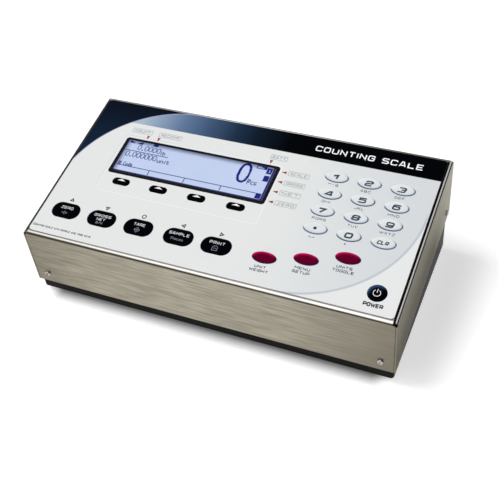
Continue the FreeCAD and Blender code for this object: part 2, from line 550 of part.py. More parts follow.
def make_serial_ports():
    """Two nine-way sockets with their flanges, and the hexagonal jack posts."""
    posts, back = [], V(0, 1, 0)
    for name, x in zip(("serial_port_right", "serial_port_left"), SERIAL_X):
        y = Y_PAN_REAR
        port = dsub_outline(x, DSUB_BODY, y - DSUB_LONG, y)
        half_w, half_h = DSUB_FLANGE[0] / 2, DSUB_FLANGE[1] / 2
        plate = block(x - half_w, x + half_w, y, y + DSUB_PLATE, PORT_Z - half_h, PORT_Z + half_h)
        corners = [e for e in plate.Edges if abs(e.tangentAt(e.FirstParameter).y) > 0.99]
        plate = plate.makeFillet(DSUB_PLATE * 2, corners)
        port = port.fuse(plate).fuse(dsub_outline(x, DSUB_SHELL, y, y + DSUB_REACH)).removeSplitter()
        for side in (-1, 1):
            at = V(x + side * JACK_PITCH / 2, y, PORT_Z)
            port = port.cut(rod(JACK_HOLE, at - back, PAST, back))
            post = hexagon(JACK_HEX, at + back * DSUB_PLATE, JACK_LENGTH, back)
            post = post.fuse(rod(JACK_R, at - back * JACK_LENGTH, JACK_LENGTH + 1, back))
            posts.append(post.cut(rod(JACK_BORE, at + back * (DSUB_PLATE + 2), PAST, back)))
        add(name, port)
    add("jack_posts", *posts)


def make_gland():
    """Cable gland for the weighing platform's cable: body, rubber seal, cap and lock nut."""
    back = V(0, 1, 0)
    wall = V(GLAND_X, Y_PAN_REAR, PORT_Z)

    def run(radius, y0, y1):
        """Round bar along the gland, from y0 to y1 behind the pan's wall."""
        return rod(radius, wall + back * y0, y1 - y0, back)

    far = 2 * GLAND_REACH
    body = hexagon(GLAND_HEX, wall, GLAND_HEX_T, back)
    body = body.fuse(run(GLAND_THREAD_R, -GLAND_THREAD_IN, GLAND_THREAD_OUT)).removeSplitter()
    body = body.cut(run(GLAND_BORE, -far, far)).cut(run(GLAND_SOCKET, GLAND_HEX_T - 1, far))
    add("gland_body", body)

    seal_end = GLAND_REACH - GLAND_LIP - 0.1
    seal_start = seal_end - SEAL_LENGTH
    add("gland_seal", run(SEAL_R, seal_start, seal_end).cut(run(CABLE_R, -far, far)))

    cap_start = GLAND_HEX_T + 1
    cap = run(GLAND_CAP_R, cap_start, GLAND_REACH)
    rim = [e for e in cap.Edges if e.BoundBox.YMin > wall.y + GLAND_REACH - 0.01]
    cap = cap.makeFillet(3.0, rim)
    for k in range(GLAND_FLUTES):
        turn = 2 * math.pi * k / GLAND_FLUTES
        side = V(math.cos(turn), 0, math.sin(turn)) * (GLAND_CAP_R + GLAND_GRIP / 2)
        cap = cap.cut(rod(GLAND_GRIP, wall + side + back * cap_start, GLAND_CAP_L - 4, back))
    cap = cap.cut(run(GLAND_THREAD_R + HOLE_FIT, 0, GLAND_THREAD_OUT + 0.3))
    cap = cap.cut(run(SEAL_R + HOLE_FIT, 0, GLAND_REACH - GLAND_LIP)).cut(run(GLAND_MOUTH, 0, far))
    add("gland_cap", cap)

    nut = hexagon(GLAND_NUT, wall - back * (SHEET + GLAND_NUT_T), GLAND_NUT_T, back)
    add("gland_locknut", nut.cut(run(GLAND_THREAD_R + 0.05, -far, 0)))


def main():
    add("top_cover", make_cover())
    add("base_pan", make_pan())
    make_fasteners()
    make_keypad()
    make_electronics(make_display())
    make_cables()
    make_inlet()
    make_serial_ports()
    make_gland()
    os.makedirs("parts", exist_ok=True)
    for name, shape in sorted(parts.items()):
        if not shape.isValid() or shape.Volume <= 0:
            print("not a valid solid:", name)
        shape.exportStep(f"parts/{name}.step")
    print(len(parts), "sub-parts; front top edge at y, z =", round(Y_FRONT, 2), round(Z_TOP, 2))


main()
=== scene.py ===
"""Looks of a counting-scale console: stainless wedge cover, printed membrane keypad, lit dot display.

Everything is in metres in the row frame. Printed artwork, keys and the display's dots are laid out in
panel coordinates, in millimetres: u to the right from the panel's middle, v up the slope from the
cover's front face, w out from the overlay's upper face. world() carries them to the row frame.
"""

import json
import math

import bpy
from mathutils import Matrix, Quaternion, Vector

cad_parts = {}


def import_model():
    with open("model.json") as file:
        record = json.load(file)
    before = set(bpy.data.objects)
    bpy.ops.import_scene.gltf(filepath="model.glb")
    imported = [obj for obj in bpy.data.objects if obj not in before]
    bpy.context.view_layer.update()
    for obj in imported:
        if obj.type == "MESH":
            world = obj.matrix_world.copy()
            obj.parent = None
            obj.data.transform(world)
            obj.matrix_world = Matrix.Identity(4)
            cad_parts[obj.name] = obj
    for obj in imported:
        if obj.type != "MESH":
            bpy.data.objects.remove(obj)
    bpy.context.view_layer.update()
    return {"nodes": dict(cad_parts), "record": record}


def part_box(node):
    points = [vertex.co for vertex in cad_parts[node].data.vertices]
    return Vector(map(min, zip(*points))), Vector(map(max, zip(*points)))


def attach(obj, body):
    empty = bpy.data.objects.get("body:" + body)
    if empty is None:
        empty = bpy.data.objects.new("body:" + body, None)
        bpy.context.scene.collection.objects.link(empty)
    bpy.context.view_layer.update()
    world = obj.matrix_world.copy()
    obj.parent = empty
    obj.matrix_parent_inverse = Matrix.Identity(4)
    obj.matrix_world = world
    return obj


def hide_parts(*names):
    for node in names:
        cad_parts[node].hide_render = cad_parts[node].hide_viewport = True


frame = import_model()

BODY = "console"
MM = 0.001

# ---- the panel's own axes ----
PRESS = frame["record"]["behaviour"]["joints"][0]["axis"]  # into the panel
TILT = math.atan2(PRESS[1], -PRESS[2])
TO_WORLD = Matrix.Rotation(TILT, 4, "X")
TO_PANEL = Matrix.Rotation(-TILT, 4, "X")
MARGIN = 3.5  # bare metal in front of the overlay
KEYPAD_STACK = 1.3  # overlay's upper face above the seat under the keypad


def panel_box(node):
    """Lowest and highest corner of a CAD node along the panel's axes, in metres from the row's origin."""
    corners = [TO_PANEL @ v.co for v in frame["nodes"][node].data.vertices]
    low = Vector([min(c[i] for c in corners) for i in range(3)])
    high = Vector([max(c[i] for c in corners) for i in range(3)])
    return low, high


LOW, HIGH = panel_box("graphic_overlay")
ORIGIN = Vector(((LOW.x + HIGH.x) / 2, LOW.y - MARGIN * MM, HIGH.z))


def world(u, v, w=0.0):
    return TO_WORLD @ (ORIGIN + Vector((u, v, w)) * MM)


def place_of(node):
    """(u, v) of a node's middle, its (width, height), and w of its upper face."""
    low, high = panel_box(node)
    middle = ((low + high) / 2 - ORIGIN) / MM
    size = (high - low) / MM
    return (middle.x, middle.y), (size.x, size.y), (high.z - ORIGIN.z) / MM


OVERLAY_BOX = place_of("graphic_overlay")[:2]
OVERLAY_SIDE = OVERLAY_BOX[1][0] / 2
OVERLAY_TOP = OVERLAY_BOX[0][1] + OVERLAY_BOX[1][1] / 2


def add_object(name, data):
    made = bpy.data.objects.new(name, data)
    bpy.context.scene.collection.objects.link(made)
    return made


# ---- material building ----
def srgb(r, g, b):
    """Colour as seen on a screen, 0 to 255, as linear light."""
    def linear(c):
        c = c / 255
        return c / 12.92 if c <= 0.04045 else ((c + 0.055) / 1.055) ** 2.4
    return (linear(r), linear(g), linear(b), 1.0)


class NodeTree:
    """Short ways to add nodes to the tree of a material or a world."""

    def __init__(self, tree):
        self.nodes, self.links = tree.nodes, tree.links

    def put(self, target, value):
        """Puts a number, a colour or another node's output on a socket."""
        if isinstance(value, bpy.types.NodeSocket):
            self.links.new(value, target)
        else:
            target.default_value = value

    def node(self, kind, inputs=(), **settings):
        made = self.nodes.new("ShaderNode" + kind)
        for name, value in settings.items():
            setattr(made, name, value)
        for key, value in dict(inputs).items():
            self.put(made.inputs[key], value)
        return made

    def math(self, operation, a, b=0.0):
        return self.node("Math", {0: a, 1: b}, operation=operation).outputs[0]

    def times(self, a, b):
        return self.math("MULTIPLY", a, b)

    def distance(self, value, from_where=0.0):
        """How far value is from a number, without its sign."""
        return self.math("ABSOLUTE", self.math("SUBTRACT", value, from_where))

    def vector(self, operation, a, b=(0.0, 0.0, 0.0)):
        made = self.node("VectorMath", {0: a, 1: b}, operation=operation)
        return made.outputs["Value" if operation in ("LENGTH", "DISTANCE", "DOT_PRODUCT") else "Vector"]

    def split(self, vector):
        return self.node("SeparateXYZ", {0: vector}).outputs

    def between(self, value, low, high, to_low=0.0, to_high=1.0, smooth=True):
        """value's way from low to high, as a number from to_low to to_high."""
        kind = "SMOOTHSTEP" if smooth else "LINEAR"
        inputs = {"Value": value, "From Min": low, "From Max": high, "To Min": to_low, "To Max": to_high}
        return self.node("MapRange", inputs, interpolation_type=kind).outputs[0]

    def blend(self, factor, a, b):
        """A number on the way from a to b."""
        return self.node("Mix", {0: factor, 2: a, 3: b}).outputs[0]

    def mix(self, factor, a, b):
        """A colour on the way from a to b."""
        return self.node("Mix", {0: factor, 6: a, 7: b}, data_type="RGBA").outputs[2]

    def ramp(self, value, stops):
        """Colours along value, from (position, colour) stops."""
        made = self.node("ValToRGB", {0: value})
        band = made.color_ramp
        for i, (position, colour) in enumerate(stops):
            stop = band.elements[i] if i < 2 else band.elements.new(position)
            stop.position, stop.color = position, colour
        return made.outputs[0]


class Shader(NodeTree):
    """One Principled material and the few patterns that this object's surfaces are made of."""

    def __init__(self, name, roughness=0.5, metallic=0.0, **sockets):
        self.material = bpy.data.materials.new(name)
        self.material.use_nodes = True
        super().__init__(self.material.node_tree)
        self.principled = self.nodes["Principled BSDF"]
        self.set("Roughness", roughness)
        self.set("Metallic", metallic)
        for socket, value in sockets.items():
            self.set(socket.replace("_", " "), value)

    def set(self, socket, value):
        self.put(self.principled.inputs[socket], value)

    def normal(self):
        """x, y and z of the flat face's own normal."""
        return self.split(self.node("NewGeometry").outputs["True Normal"])

    def place(self, stretch=(1.0, 1.0, 1.0)):
        """The row frame's coordinates in millimetres, each axis multiplied by stretch."""
        at = self.node("TexCoord").outputs["Object"]
        scale = tuple(s / MM for s in stretch)
        return self.node("Mapping", {"Vector": at, "Scale": scale}).outputs[0]

    def panel_place(self):
        """Panel coordinates u, v, w in millimetres."""
        inputs = {"Vector": self.place(), "Rotation": (-TILT, 0.0, 0.0), "Location": -ORIGIN / MM}
        return self.node("Mapping", inputs).outputs[0]

    def noise(self, size, detail=2.0, stretch=(1.0, 1.0, 1.0), rough=0.5):
        """Noise from 0 to 1, whose features are size millimetres across."""
        inputs = {"Vector": self.place(stretch), "Scale": 1.0 / size, "Detail": detail, "Roughness": rough}
        return self.node("TexNoise", inputs).outputs["Fac"]

    def mottled(self, noise, low, high):
        """Sets a roughness that wanders between low and high."""
        self.set("Roughness", self.between(noise, 0.3, 0.7, low, high))

    def bump(self, height, depth):
        """Bump whose height of 1 stands depth millimetres."""
        made = self.node("Bump", {"Height": height, "Distance": depth * MM, "Strength": 1.0})
        self.set("Normal", made.outputs[0])

    def from_circle(self, place, centre, radius):
        """Distance outside a circle on the panel, negative inside it."""
        flat = self.vector("MULTIPLY", place, (1.0, 1.0, 0.0))
        return self.math("SUBTRACT", self.vector("DISTANCE", flat, (*centre, 0.0)), radius)

    def from_box(self, place, centre, size, corner):
        """Distance outside a round-cornered box on the panel, negative inside it."""
        flat = self.vector("MULTIPLY", place, (1.0, 1.0, 0.0))
        away = self.vector("ABSOLUTE", self.vector("SUBTRACT", flat, (*centre, 0.0)))
        inner = (size[0] / 2 - corner, size[1] / 2 - corner, 0.0)
        over = self.vector("SUBTRACT", away, inner)
        outside = self.vector("LENGTH", self.vector("MAXIMUM", over, (0.0, 0.0, 0.0)))
        x, y, _ = self.split(over)
        inside = self.math("MINIMUM", self.math("MAXIMUM", x, y), 0.0)
        return self.math("SUBTRACT", self.math("ADD", outside, inside), corner)


def tinted(shader, colour, spread, value):
    """colour, made up to spread darker or lighter where value is 0 or 1."""
    low = tuple(c * (1 - spread) for c in colour[:3]) + (1.0,)
    high = tuple(min(c * (1 + spread), 1.0) for c in colour[:3]) + (1.0,)
    return shader.mix(value, low, high)


def tinted_by(shader, colour, value):
    """A node's colour, made a little darker or lighter by value."""
    shade = shader.between(value, 0.3, 0.7, 0.86, 1.14)
    grey = shader.node("CombineXYZ", {0: shade, 1: shade, 2: shade}).outputs[0]
    return shader.vector("MULTIPLY", colour, grey)


def moulded(name, colour, roughness=0.5, grain=0.25, depth=0.02):
    """Plastic or rubber with a fine grain and slow changes of tone."""
    s = Shader(name)
    s.set("Base Color", tinted(s, colour, 0.12, s.noise(14.0, 3.0)))
    s.set("Roughness", s.between(s.noise(3.0, 3.0), 0.25, 0.75, roughness - 0.06, roughness + 0.08))
    s.bump(s.noise(grain, 2.0), depth)
    return s.material


def metal(name, colour, roughness=0.3, stretch=(1.0, 1.0, 1.0), grain=0.6):
    """Metal with scratches, or with a grain that stretch lays along an axis."""
    s = Shader(name, metallic=1.0)
    streaks = s.noise(grain, 3.0, stretch)
    s.set("Base Color", tinted(s, colour, 0.10, streaks))
    s.set("Roughness", s.between(streaks, 0.2, 0.8, roughness - 0.07, roughness + 0.07))
    s.bump(streaks, 0.004)
    return s.material


# ---- surfaces of the housing ----
STEEL = (0.330, 0.307, 0.253, 1.0)
STEEL_CLOUD_AND_END_SHADE = (0.180, 0.164, 0.129, 1.0)  # darker steel, blended in as random clouds and as a painted darker reflection toward the ends of the front face
STEEL_TINT = (0.55, 0.52, 0.42, 1.0)
# painted shade and reflection on the side faces: dark low down, lighter up high, paler toward the rear
SIDE_SHADE_LOW, SIDE_SHADE_HIGH = (0.140, 0.140, 0.150, 1.0), (0.265, 0.265, 0.262, 1.0)
SIDE_REAR_LIGHT = (0.43, 0.43, 0.42, 1.0)
FRONT_CREST_HIGHLIGHT = (0.86, 0.84, 0.81, 1.0)  # painted highlight on the crest of the front bend, which faces the light
FRONT_BEND_REFLECTION = (0.085, 0.072, 0.055, 1.0)  # painted dark reflection on the front bend below its crest
# painted darker reflection toward the front bend's ends
FRONT_END_REFLECTION = (0.03, 0.026, 0.02, 1.0)
FRONT_SEAT = (0.02, 0.02, 0.026, 1.0)  # the shadow line between the crest and the overlay
# painted dark reflection on the left bend
LEFT_BEND_REFLECTION = (0.13, 0.124, 0.105, 1.0)
# painted reflections on the rear bend, from left to right, and darker where it turns down at the rear
REAR_LEFT_REFLECTION, REAR_MIDDLE_REFLECTION = (0.34, 0.33, 0.30, 1.0), (0.74, 0.72, 0.68, 1.0)
REAR_RIGHT_REFLECTION = (0.16, 0.155, 0.14, 1.0)
REAR_OUTSIDE_REFLECTION = (0.06, 0.055, 0.045, 1.0)
RIGHT_REFLECTION_STOPS = ((0.0, 0.010), (0.12, 0.012), (0.24, 0.60), (0.48, 0.56), (0.60, 0.012), (0.82, 0.012),
               (0.93, 0.2))  # painted reflections on the right bend as it turns outward: two dark lines with a light one between
FINE_GRAIN, BROAD_GRAIN = 0.35, 1.7
FINE_STRETCH, BROAD_STRETCH = 0.012, 0.08


def flat_steel(s, place, side, streaks, ends):
    """The flat faces: warm, with random clouds and a painted darker reflection toward the ends at the front;
    on the sides cooler, with painted shade, dark low down and paler toward the rear.
    """
    _, v, w = s.split(place)
    base = tinted(s, STEEL, 0.30, s.between(streaks, 0.3, 0.7))
    cloud = s.between(s.noise(60.0, 2.0), 0.3, 0.7, 0.0, 0.2)
    base = s.mix(s.math("ADD", cloud, s.times(ends, 0.75)), base, STEEL_CLOUD_AND_END_SHADE)
    # painted shade on the side faces: dark low down, paler toward the rear
    flank_shade = s.mix(s.between(w, -42.0, -3.0), SIDE_SHADE_LOW, SIDE_SHADE_HIGH)
    flank_shade = s.mix(s.between(v, 85.0, 150.0), flank_shade, SIDE_REAR_LIGHT)
    return s.mix(side, base, tinted_by(s, flank_shade, streaks))


def bent_steel(s, place, by_rear, ends):
    """The bends round the top, coloured with painted reflections: a painted highlight on the crest at the
    front, dark at the left, pale at the rear, and at the right two dark lines with a light one between them."""
    u, v, _ = s.split(place)
    x, y, z = s.normal()
    height = s.math("ADD", z, s.times(u, 0.0010))
    # the front bend: painted dark reflection, a painted highlight on its crest, and a painted shadow line by
    # the overlay
    front = s.mix(s.times(ends, 0.6), FRONT_BEND_REFLECTION, FRONT_END_REFLECTION)
    front = s.mix(s.between(height, 0.55, 0.85), front, FRONT_CREST_HIGHLIGHT)
    by_end = s.between(s.distance(u, 12.0), 100.0, 155.0, 0.45, 0.9)
    by_overlay = s.between(s.from_box(place, *OVERLAY_BOX, 3.0), 0.2, 0.85, 1.0, 0.0)
    front = s.mix(s.times(by_end, by_overlay), front, FRONT_SEAT)
    # the rear bend's painted reflections
    rear = s.mix(s.between(u, -130.0, -30.0), REAR_LEFT_REFLECTION, REAR_MIDDLE_REFLECTION)
    rear = s.mix(s.between(u, 0.0, 120.0), rear, REAR_RIGHT_REFLECTION)
    rear = s.mix(s.between(y, -0.05, 0.12, 0.0, 0.9), rear, REAR_OUTSIDE_REFLECTION)
    # painted reflections on the right bend
    right = s.ramp(x, [(at, (tone, tone * 0.98, tone * 0.94, 1.0)) for at, tone in RIGHT_REFLECTION_STOPS])
    tone = s.mix(s.between(v, 100.0, 146.0), front, rear)
    tone = s.mix(s.between(u, -OVERLAY_SIDE - 0.1, -OVERLAY_SIDE + 0.4, 1.0, 0.0), tone, LEFT_BEND_REFLECTION)
    by_right = s.between(u, OVERLAY_SIDE - 0.4, OVERLAY_SIDE + 0.1)
    tone = s.mix(s.times(by_right, s.between(x, 0.84, 0.93, 1.0, 0.0)), tone, right)
    return s.mix(s.times(by_rear, s.between(s.math("ABSOLUTE", x), 0.1, 0.3, 1.0, 0.0)), tone, rear)


def stainless():
    """Brushed along the width, and along the depth on the two side faces, with painted reflections and
    highlights on the bends and painted shade on the flat faces.
    """
    s = Shader("stainless_sheet", metallic=1.0, Anisotropic=0.6, Specular_Tint=STEEL_TINT)
    place = s.panel_place()
    x, _, z = s.normal()
    u, v, _ = s.split(place)
    side = s.between(s.math("ABSOLUTE", x), 0.80, 0.95)
    not_side = s.math("SUBTRACT", 1.0, side)
    fine = s.blend(side, s.noise(FINE_GRAIN, 3.0, (FINE_STRETCH, 1.0, 1.0), 0.6),
                   s.noise(FINE_GRAIN, 3.0, (1.0, FINE_STRETCH, 1.0), 0.6))
    broad = s.blend(side, s.noise(BROAD_GRAIN, 3.0, (BROAD_STRETCH, 1.0, 1.0)),
                    s.noise(BROAD_GRAIN, 3.0, (1.0, BROAD_STRETCH, 1.0)))
    streaks = s.math("ADD", s.times(fine, 0.45), s.times(broad, 0.55))
    ends = s.between(s.distance(u, -20.0), 75.0, 165.0)
    by_rear = s.between(v, OVERLAY_TOP - 0.4, OVERLAY_TOP + 0.1)
    up = s.times(s.between(z, 0.03, 0.16), not_side)
    flat = flat_steel(s, place, side, streaks, ends)
    # the bends' colour is painted reflection and highlight; the flat faces' colour holds painted shade
    s.set("Base Color", s.mix(up, flat, bent_steel(s, place, by_rear, ends)))
    # the rear bend is made less metallic, so its painted reflection shows as plain colour
    s.set("Metallic", s.math("SUBTRACT", 1.0, s.times(s.times(by_rear, up), 0.85)))
    s.mottled(fine, 0.27, 0.40)
    s.set("Tangent", s.node("CombineXYZ", {0: not_side, 1: side, 2: 0.0}).outputs[0])
    s.bump(streaks, 0.006)
    return s.material


def powder_coat(name):
    s = Shader(name, Specular_IOR_Level=0.05)
    s.set("Base Color", tinted(s, (0.005, 0.0046, 0.004, 1.0), 0.25, s.noise(25.0, 3.0)))
    s.mottled(s.noise(1.2, 3.0), 0.36, 0.5)
    s.bump(s.noise(0.6, 3.0), 0.03)
    return s.material


# ---- the overlay's print ----
FIELD = srgb(222, 224, 223)
FIELD_FAR = srgb(207, 211, 214)  # toward the right
CORNER_FIELD = srgb(224, 225, 225)  # outside the lower right arc
ARC_LINE = srgb(184, 191, 200)
DISPLAY_PANEL = ((-43.85, 83.9), (140.9, 60.6))  # middle and size of the raised panel round the display
PANEL_LIT, PANEL_DIM = srgb(240, 240, 240), srgb(196, 202, 214)
LEFT_ARC = ((-57.5, 57.6), 91.9)  # middle and radius
RIGHT_ARC = ((55.55, 92.85), 90.3)
ARC_GLOW, NAVY, NAVY_FAR = srgb(172, 166, 198), srgb(17, 36, 57), srgb(8, 15, 28)
BAND_FROM = 128.2  # v of the dark band's lower edge
BAND_STOPS = ((-108.0, (164, 182, 200)), (-96.0, (140, 160, 184)), (-72.0, (94, 116, 149)),
              (-48.0, (61, 82, 113)), (-24.0, (28, 47, 70)), (-6.0, (14, 26, 41)), (22.0, (1, 2, 5)))
CUT_EDGE = (0.01, 0.008, 0.01, 1.0)  # the film's right edge, in the shade of the bend


def overlay_film():
    """Printed film: pale field, two arcs, a navy corner and a band that fades from pale blue to black."""
    s = Shader("overlay_film", Specular_IOR_Level=0.03)
    place = s.panel_place()
    u, v, _ = s.split(place)
    colour = s.mix(s.between(u, 10.0, 150.0), FIELD, FIELD_FAR)

    past_arc = s.from_circle(place, *RIGHT_ARC)
    low_right = s.times(s.between(u, 50.0, 60.0), s.between(v, 90.0, 98.0, 1.0, 0.0))
    colour = s.mix(s.times(s.between(past_arc, -0.5, 1.0), low_right), colour, CORNER_FIELD)
    line = s.between(s.distance(past_arc), 0.2, 1.5, 0.95, 0.0)
    colour = s.mix(s.times(line, low_right), colour, ARC_LINE)

    panel = s.from_box(place, *DISPLAY_PANEL, 3.0)
    lit = s.between(s.distance(panel, -0.6), 0.2, 0.6, 0.5, 0.0)
    dim = s.between(s.distance(panel, 0.2), 0.3, 0.8, 0.5, 0.0)
    dim = s.times(dim, s.between(s.math("SUBTRACT", v, u), 150.0, 200.0, 0.15, 1.0))
    colour = s.mix(lit, s.mix(dim, colour, PANEL_DIM), PANEL_LIT)

    start, end = BAND_STOPS[0][0], BAND_STOPS[-1][0]
    along = s.between(u, start, end, smooth=False)
    band = s.ramp(along, [((at - start) / (end - start), srgb(*rgb)) for at, rgb in BAND_STOPS])
    colour = s.mix(s.between(v, BAND_FROM - 0.15, BAND_FROM + 0.15), colour, band)

    past_left = s.from_circle(place, *LEFT_ARC)
    top_left = s.times(s.between(u, -70.0, -60.0, 1.0, 0.0), s.between(v, 50.0, 58.0))
    colour = s.mix(s.times(s.between(past_left, -1.0, -0.1, 0.0, 0.75), top_left), colour, ARC_GLOW)
    navy = s.mix(s.between(v, 85.0, 160.0), NAVY, NAVY_FAR)
    colour = s.mix(s.times(s.between(past_left, -0.2, 0.6), top_left), colour, navy)
    colour = s.mix(s.between(s.normal()[0], 0.3, 0.6), colour, CUT_EDGE)
    s.set("Base Color", s.mix(s.between(u, OVERLAY_SIDE - 0.5, OVERLAY_SIDE - 0.2), colour, CUT_EDGE))
    s.mottled(s.noise(2.0, 2.0), 0.38, 0.47)
    s.bump(s.noise(0.35, 2.0), 0.006)
    return s.material


# ---- keys ----
SHADE_FROM = Vector((0.55, -0.84))  # the printed shading falls to the lower right


def key_film(name, base, light, dark, light_most, dark_most, edge, reach):
    """Printed key top. Its edge is lit at the upper left and shaded at the lower right, over reach mm.

    Colours are as seen on a screen, 0 to 255. edge is the line round the key: its colour, its strength at
    the upper left and at the lower right, and its thickness. The mesh's "rim" attribute holds each point's
    distance in from the key's outline, and how far the outline there faces the shaded side.
    """
    s = Shader(name, Specular_IOR_Level=0.015)
    inward, facing, _ = s.split(s.node("Attribute", attribute_name="rim").outputs["Vector"])
    near = s.between(inward, 0.1, reach, 1.0, 0.0)
    lit = s.times(near, s.between(facing, -1.0, 0.1, light_most, 0.0))
    shaded = s.times(near, s.between(facing, -0.35, 0.75, 0.0, dark_most))
    colour = s.mix(shaded, s.mix(lit, srgb(*base), srgb(*light)), srgb(*dark))
    edge_colour, weak, strong, thick = edge
    line = s.between(inward, thick * 0.5, thick * 1.1, 1.0, 0.0)
    line = s.times(line, s.between(facing, -0.8, 0.35, weak, strong))
    colour = s.mix(line, colour, srgb(*edge_colour))
    s.set("Base Color", s.mix(s.between(inward, -0.1, -0.05), FIELD, colour))
    s.mottled(s.noise(1.5, 2.0), 0.32, 0.42)
    s.bump(s.noise(0.35, 2.0), 0.004)
    return s.material


KEY_GROWS = 0.17  # a key's skirt, which closes the gap to the overlay but for a hair
KEY_UNDER, KEY_HIGH = -0.4, 0.5  # a key's lower and upper face, from the overlay's upper face
KEY_RIM = 0.94  # the dome's height where its slope ends, as a share of KEY_HIGH
KEY_SIDES, KEY_SLOPE_STEPS = 96, 9


def outline(size, corner, inset, steps):
    """Points round an oval, or round a box with round corners, inset from its edge, with their normals."""
    a, b = size[0] / 2, size[1] / 2
    points = []
    for k in range(steps):
        turn = 2 * math.pi * k / steps
        c, s = math.cos(turn), math.sin(turn)
        if corner is None:
            normal = Vector((c / a, s / b)).normalized()
            point = Vector((a * c, b * s))
        else:
            normal = Vector((c, s))
            straight = Vector((math.copysign(a - corner, c), math.copysign(b - corner, s)))
            point = straight + normal * corner
        points.append((point - normal * inset, normal))
    return points


def key_mesh(name, size, corner, rise_over):
    """A domed key top on a low skirt, closed underneath. Coordinates are millimetres from its middle."""
    rings = [(-KEY_GROWS, KEY_UNDER), (-KEY_GROWS, 0.0), (0.0, 0.0)]
    for k in range(1, KEY_SLOPE_STEPS + 1):
        t = k / KEY_SLOPE_STEPS
        rings.append((rise_over * t, KEY_HIGH * KEY_RIM * t * t * (3 - 2 * t)))
    vertices, rims, faces = [], [], []
    for inset, height in rings:
        for point, normal in outline(size, corner, inset, KEY_SIDES):
            vertices.append(Vector((point.x, point.y, height)))
            rims.append((inset, normal.dot(SHADE_FROM), 0.0))
    top = outline(size, corner, rise_over, KEY_SIDES)
    for share in (0.75, 0.5, 0.25):
        for point, normal in top:
            height = KEY_HIGH * (1 - (1 - KEY_RIM) * share * share)
            vertices.append(Vector((point.x * share, point.y * share, height)))
            rims.append((rise_over + (1 - share) * size[1] / 3, normal.dot(SHADE_FROM), 0.0))
    count = len(vertices) // KEY_SIDES
    for ring in range(count - 1):
        for k in range(KEY_SIDES):
            a, b = ring * KEY_SIDES + k, ring * KEY_SIDES + (k + 1) % KEY_SIDES
            faces.append((a, b, b + KEY_SIDES, a + KEY_SIDES))
    for ring, height, flip in ((0, KEY_UNDER, True), (count - 1, KEY_HIGH, False)):
        middle = len(vertices)
        vertices.append(Vector((0.0, 0.0, height)))
        rims.append((size[1] / 2, 0.0, 0.0))
        for k in range(KEY_SIDES):
            a, b = ring * KEY_SIDES + k, ring * KEY_SIDES + (k + 1) % KEY_SIDES
            faces.append((b, a, middle) if flip else (a, b, middle))
    mesh = bpy.data.meshes.new(name)
    mesh.from_pydata(vertices, [], faces)
    rim = mesh.attributes.new("rim", "FLOAT_VECTOR", "POINT")
    rim.data.foreach_set("vector", [number for point in rims for number in point])
    return mesh


# ---- drawn letters ----
# A path is points on a grid of 8 by 8, "xy" each. "!" keeps a corner sharp, "@" closes the path, and ";"
# starts another one.
GRID, LETTER_SPACE, CORNER = 8, 4.2, 2.2
SPACE = ((), 4)  # no path, and its width
NARROW = {"1": 3, "I": 0, "i": 0, "c": 6, "s": 6, "e": 6, "J": 7}
STRETCHED = {"W": 1.5, "M": 1.15}
PATHS = {
    "A": "00 38! 58! 80; 12 72", "B": "@00! 80 84 04!; 04 08! 78 74", "C": "86 88 08 00 80 82",
    "D": "@00! 80 88 08!", "E": "88 08! 00! 80; 04 74", "F": "88 08! 00; 04 74", "G": "86 88 08 00 80 84! 44",
    "H": "00 08; 80 88; 04 84", "I": "00 08", "J": "78 70 00 02", "K": "00 08; 88 04! 80", "L": "08 00! 80",
    "M": "00 08! 43! 88! 80", "N": "00 08! 80! 88", "O": "@00 80 88 08", "P": "00 08! 88 83 03",
    "Q": "@00 80 88 08; 53 80", "R": "00 08! 88 83 03; 53 80", "S": "87 88 08 04 84 80 00 01",
    "T": "08 88; 48 40", "U": "08 00 80 88", "V": "08 40! 88", "W": "08 20! 46! 60! 88", "X": "00 88; 08 80",
    "Y": "08 44! 88; 44 40", "Z": "08 88! 00! 80", "0": "@00 80 88 08", "1": "06 38! 30",
    "2": "06 08 88 84 04 00! 80", "3": "08 88 84 34; 84 80 00 01", "4": "60 68! 48! 02! 82",
    "5": "88 08! 05! 85 80 00 01", "6": "87 88 08 00 80 85 05", "7": "08 88! 30",
    "8": "@04 84 88 08; @00 80 84 04", "9": "01 00 80 88 08 03 83", "i": "00 05; 07 08",
    "e": "02 62 65 05 00 60", "c": "65 05 00 60", "s": "65 05 03 63 60 00", "/": "00 88",
    ">": "07 74! 01", "<": "77 04! 71",
}


def rounded(points, sharp, closed):
    """Points of a path whose corners are rounded, but for the sharp ones and an open path's ends."""
    path = []
    n = len(points)
    for k, point in enumerate(points):
        if sharp[k] or (not closed and k in (0, n - 1)):
            path.append(tuple(point))
            continue
        before, after = points[k - 1] - point, points[(k + 1) % n] - point
        start = point + before * min(CORNER / before.length, 0.5)
        end = point + after * min(CORNER / after.length, 0.5)
        for t in (0.0, 0.25, 0.5, 0.75, 1.0):
            path.append(tuple(start * (1 - t) ** 2 + point * 2 * t * (1 - t) + end * t * t))
    return path


def glyph(character):
    """(closed, points) of each path of a letter, and the letter's width on the grid."""
    stretch = STRETCHED.get(character, 1.0)
    paths = []
    for text in PATHS[character].split(";"):
        closed = "@" in text
        marks = text.replace("@", "").split()
        points = [Vector((float(m[0]) * stretch, float(m[1]))) for m in marks]
        paths.append((closed, rounded(points, [m.endswith("!") for m in marks], closed)))
    return paths, NARROW.get(character, 8) * stretch


GLYPHS = {character: glyph(character) for character in PATHS}


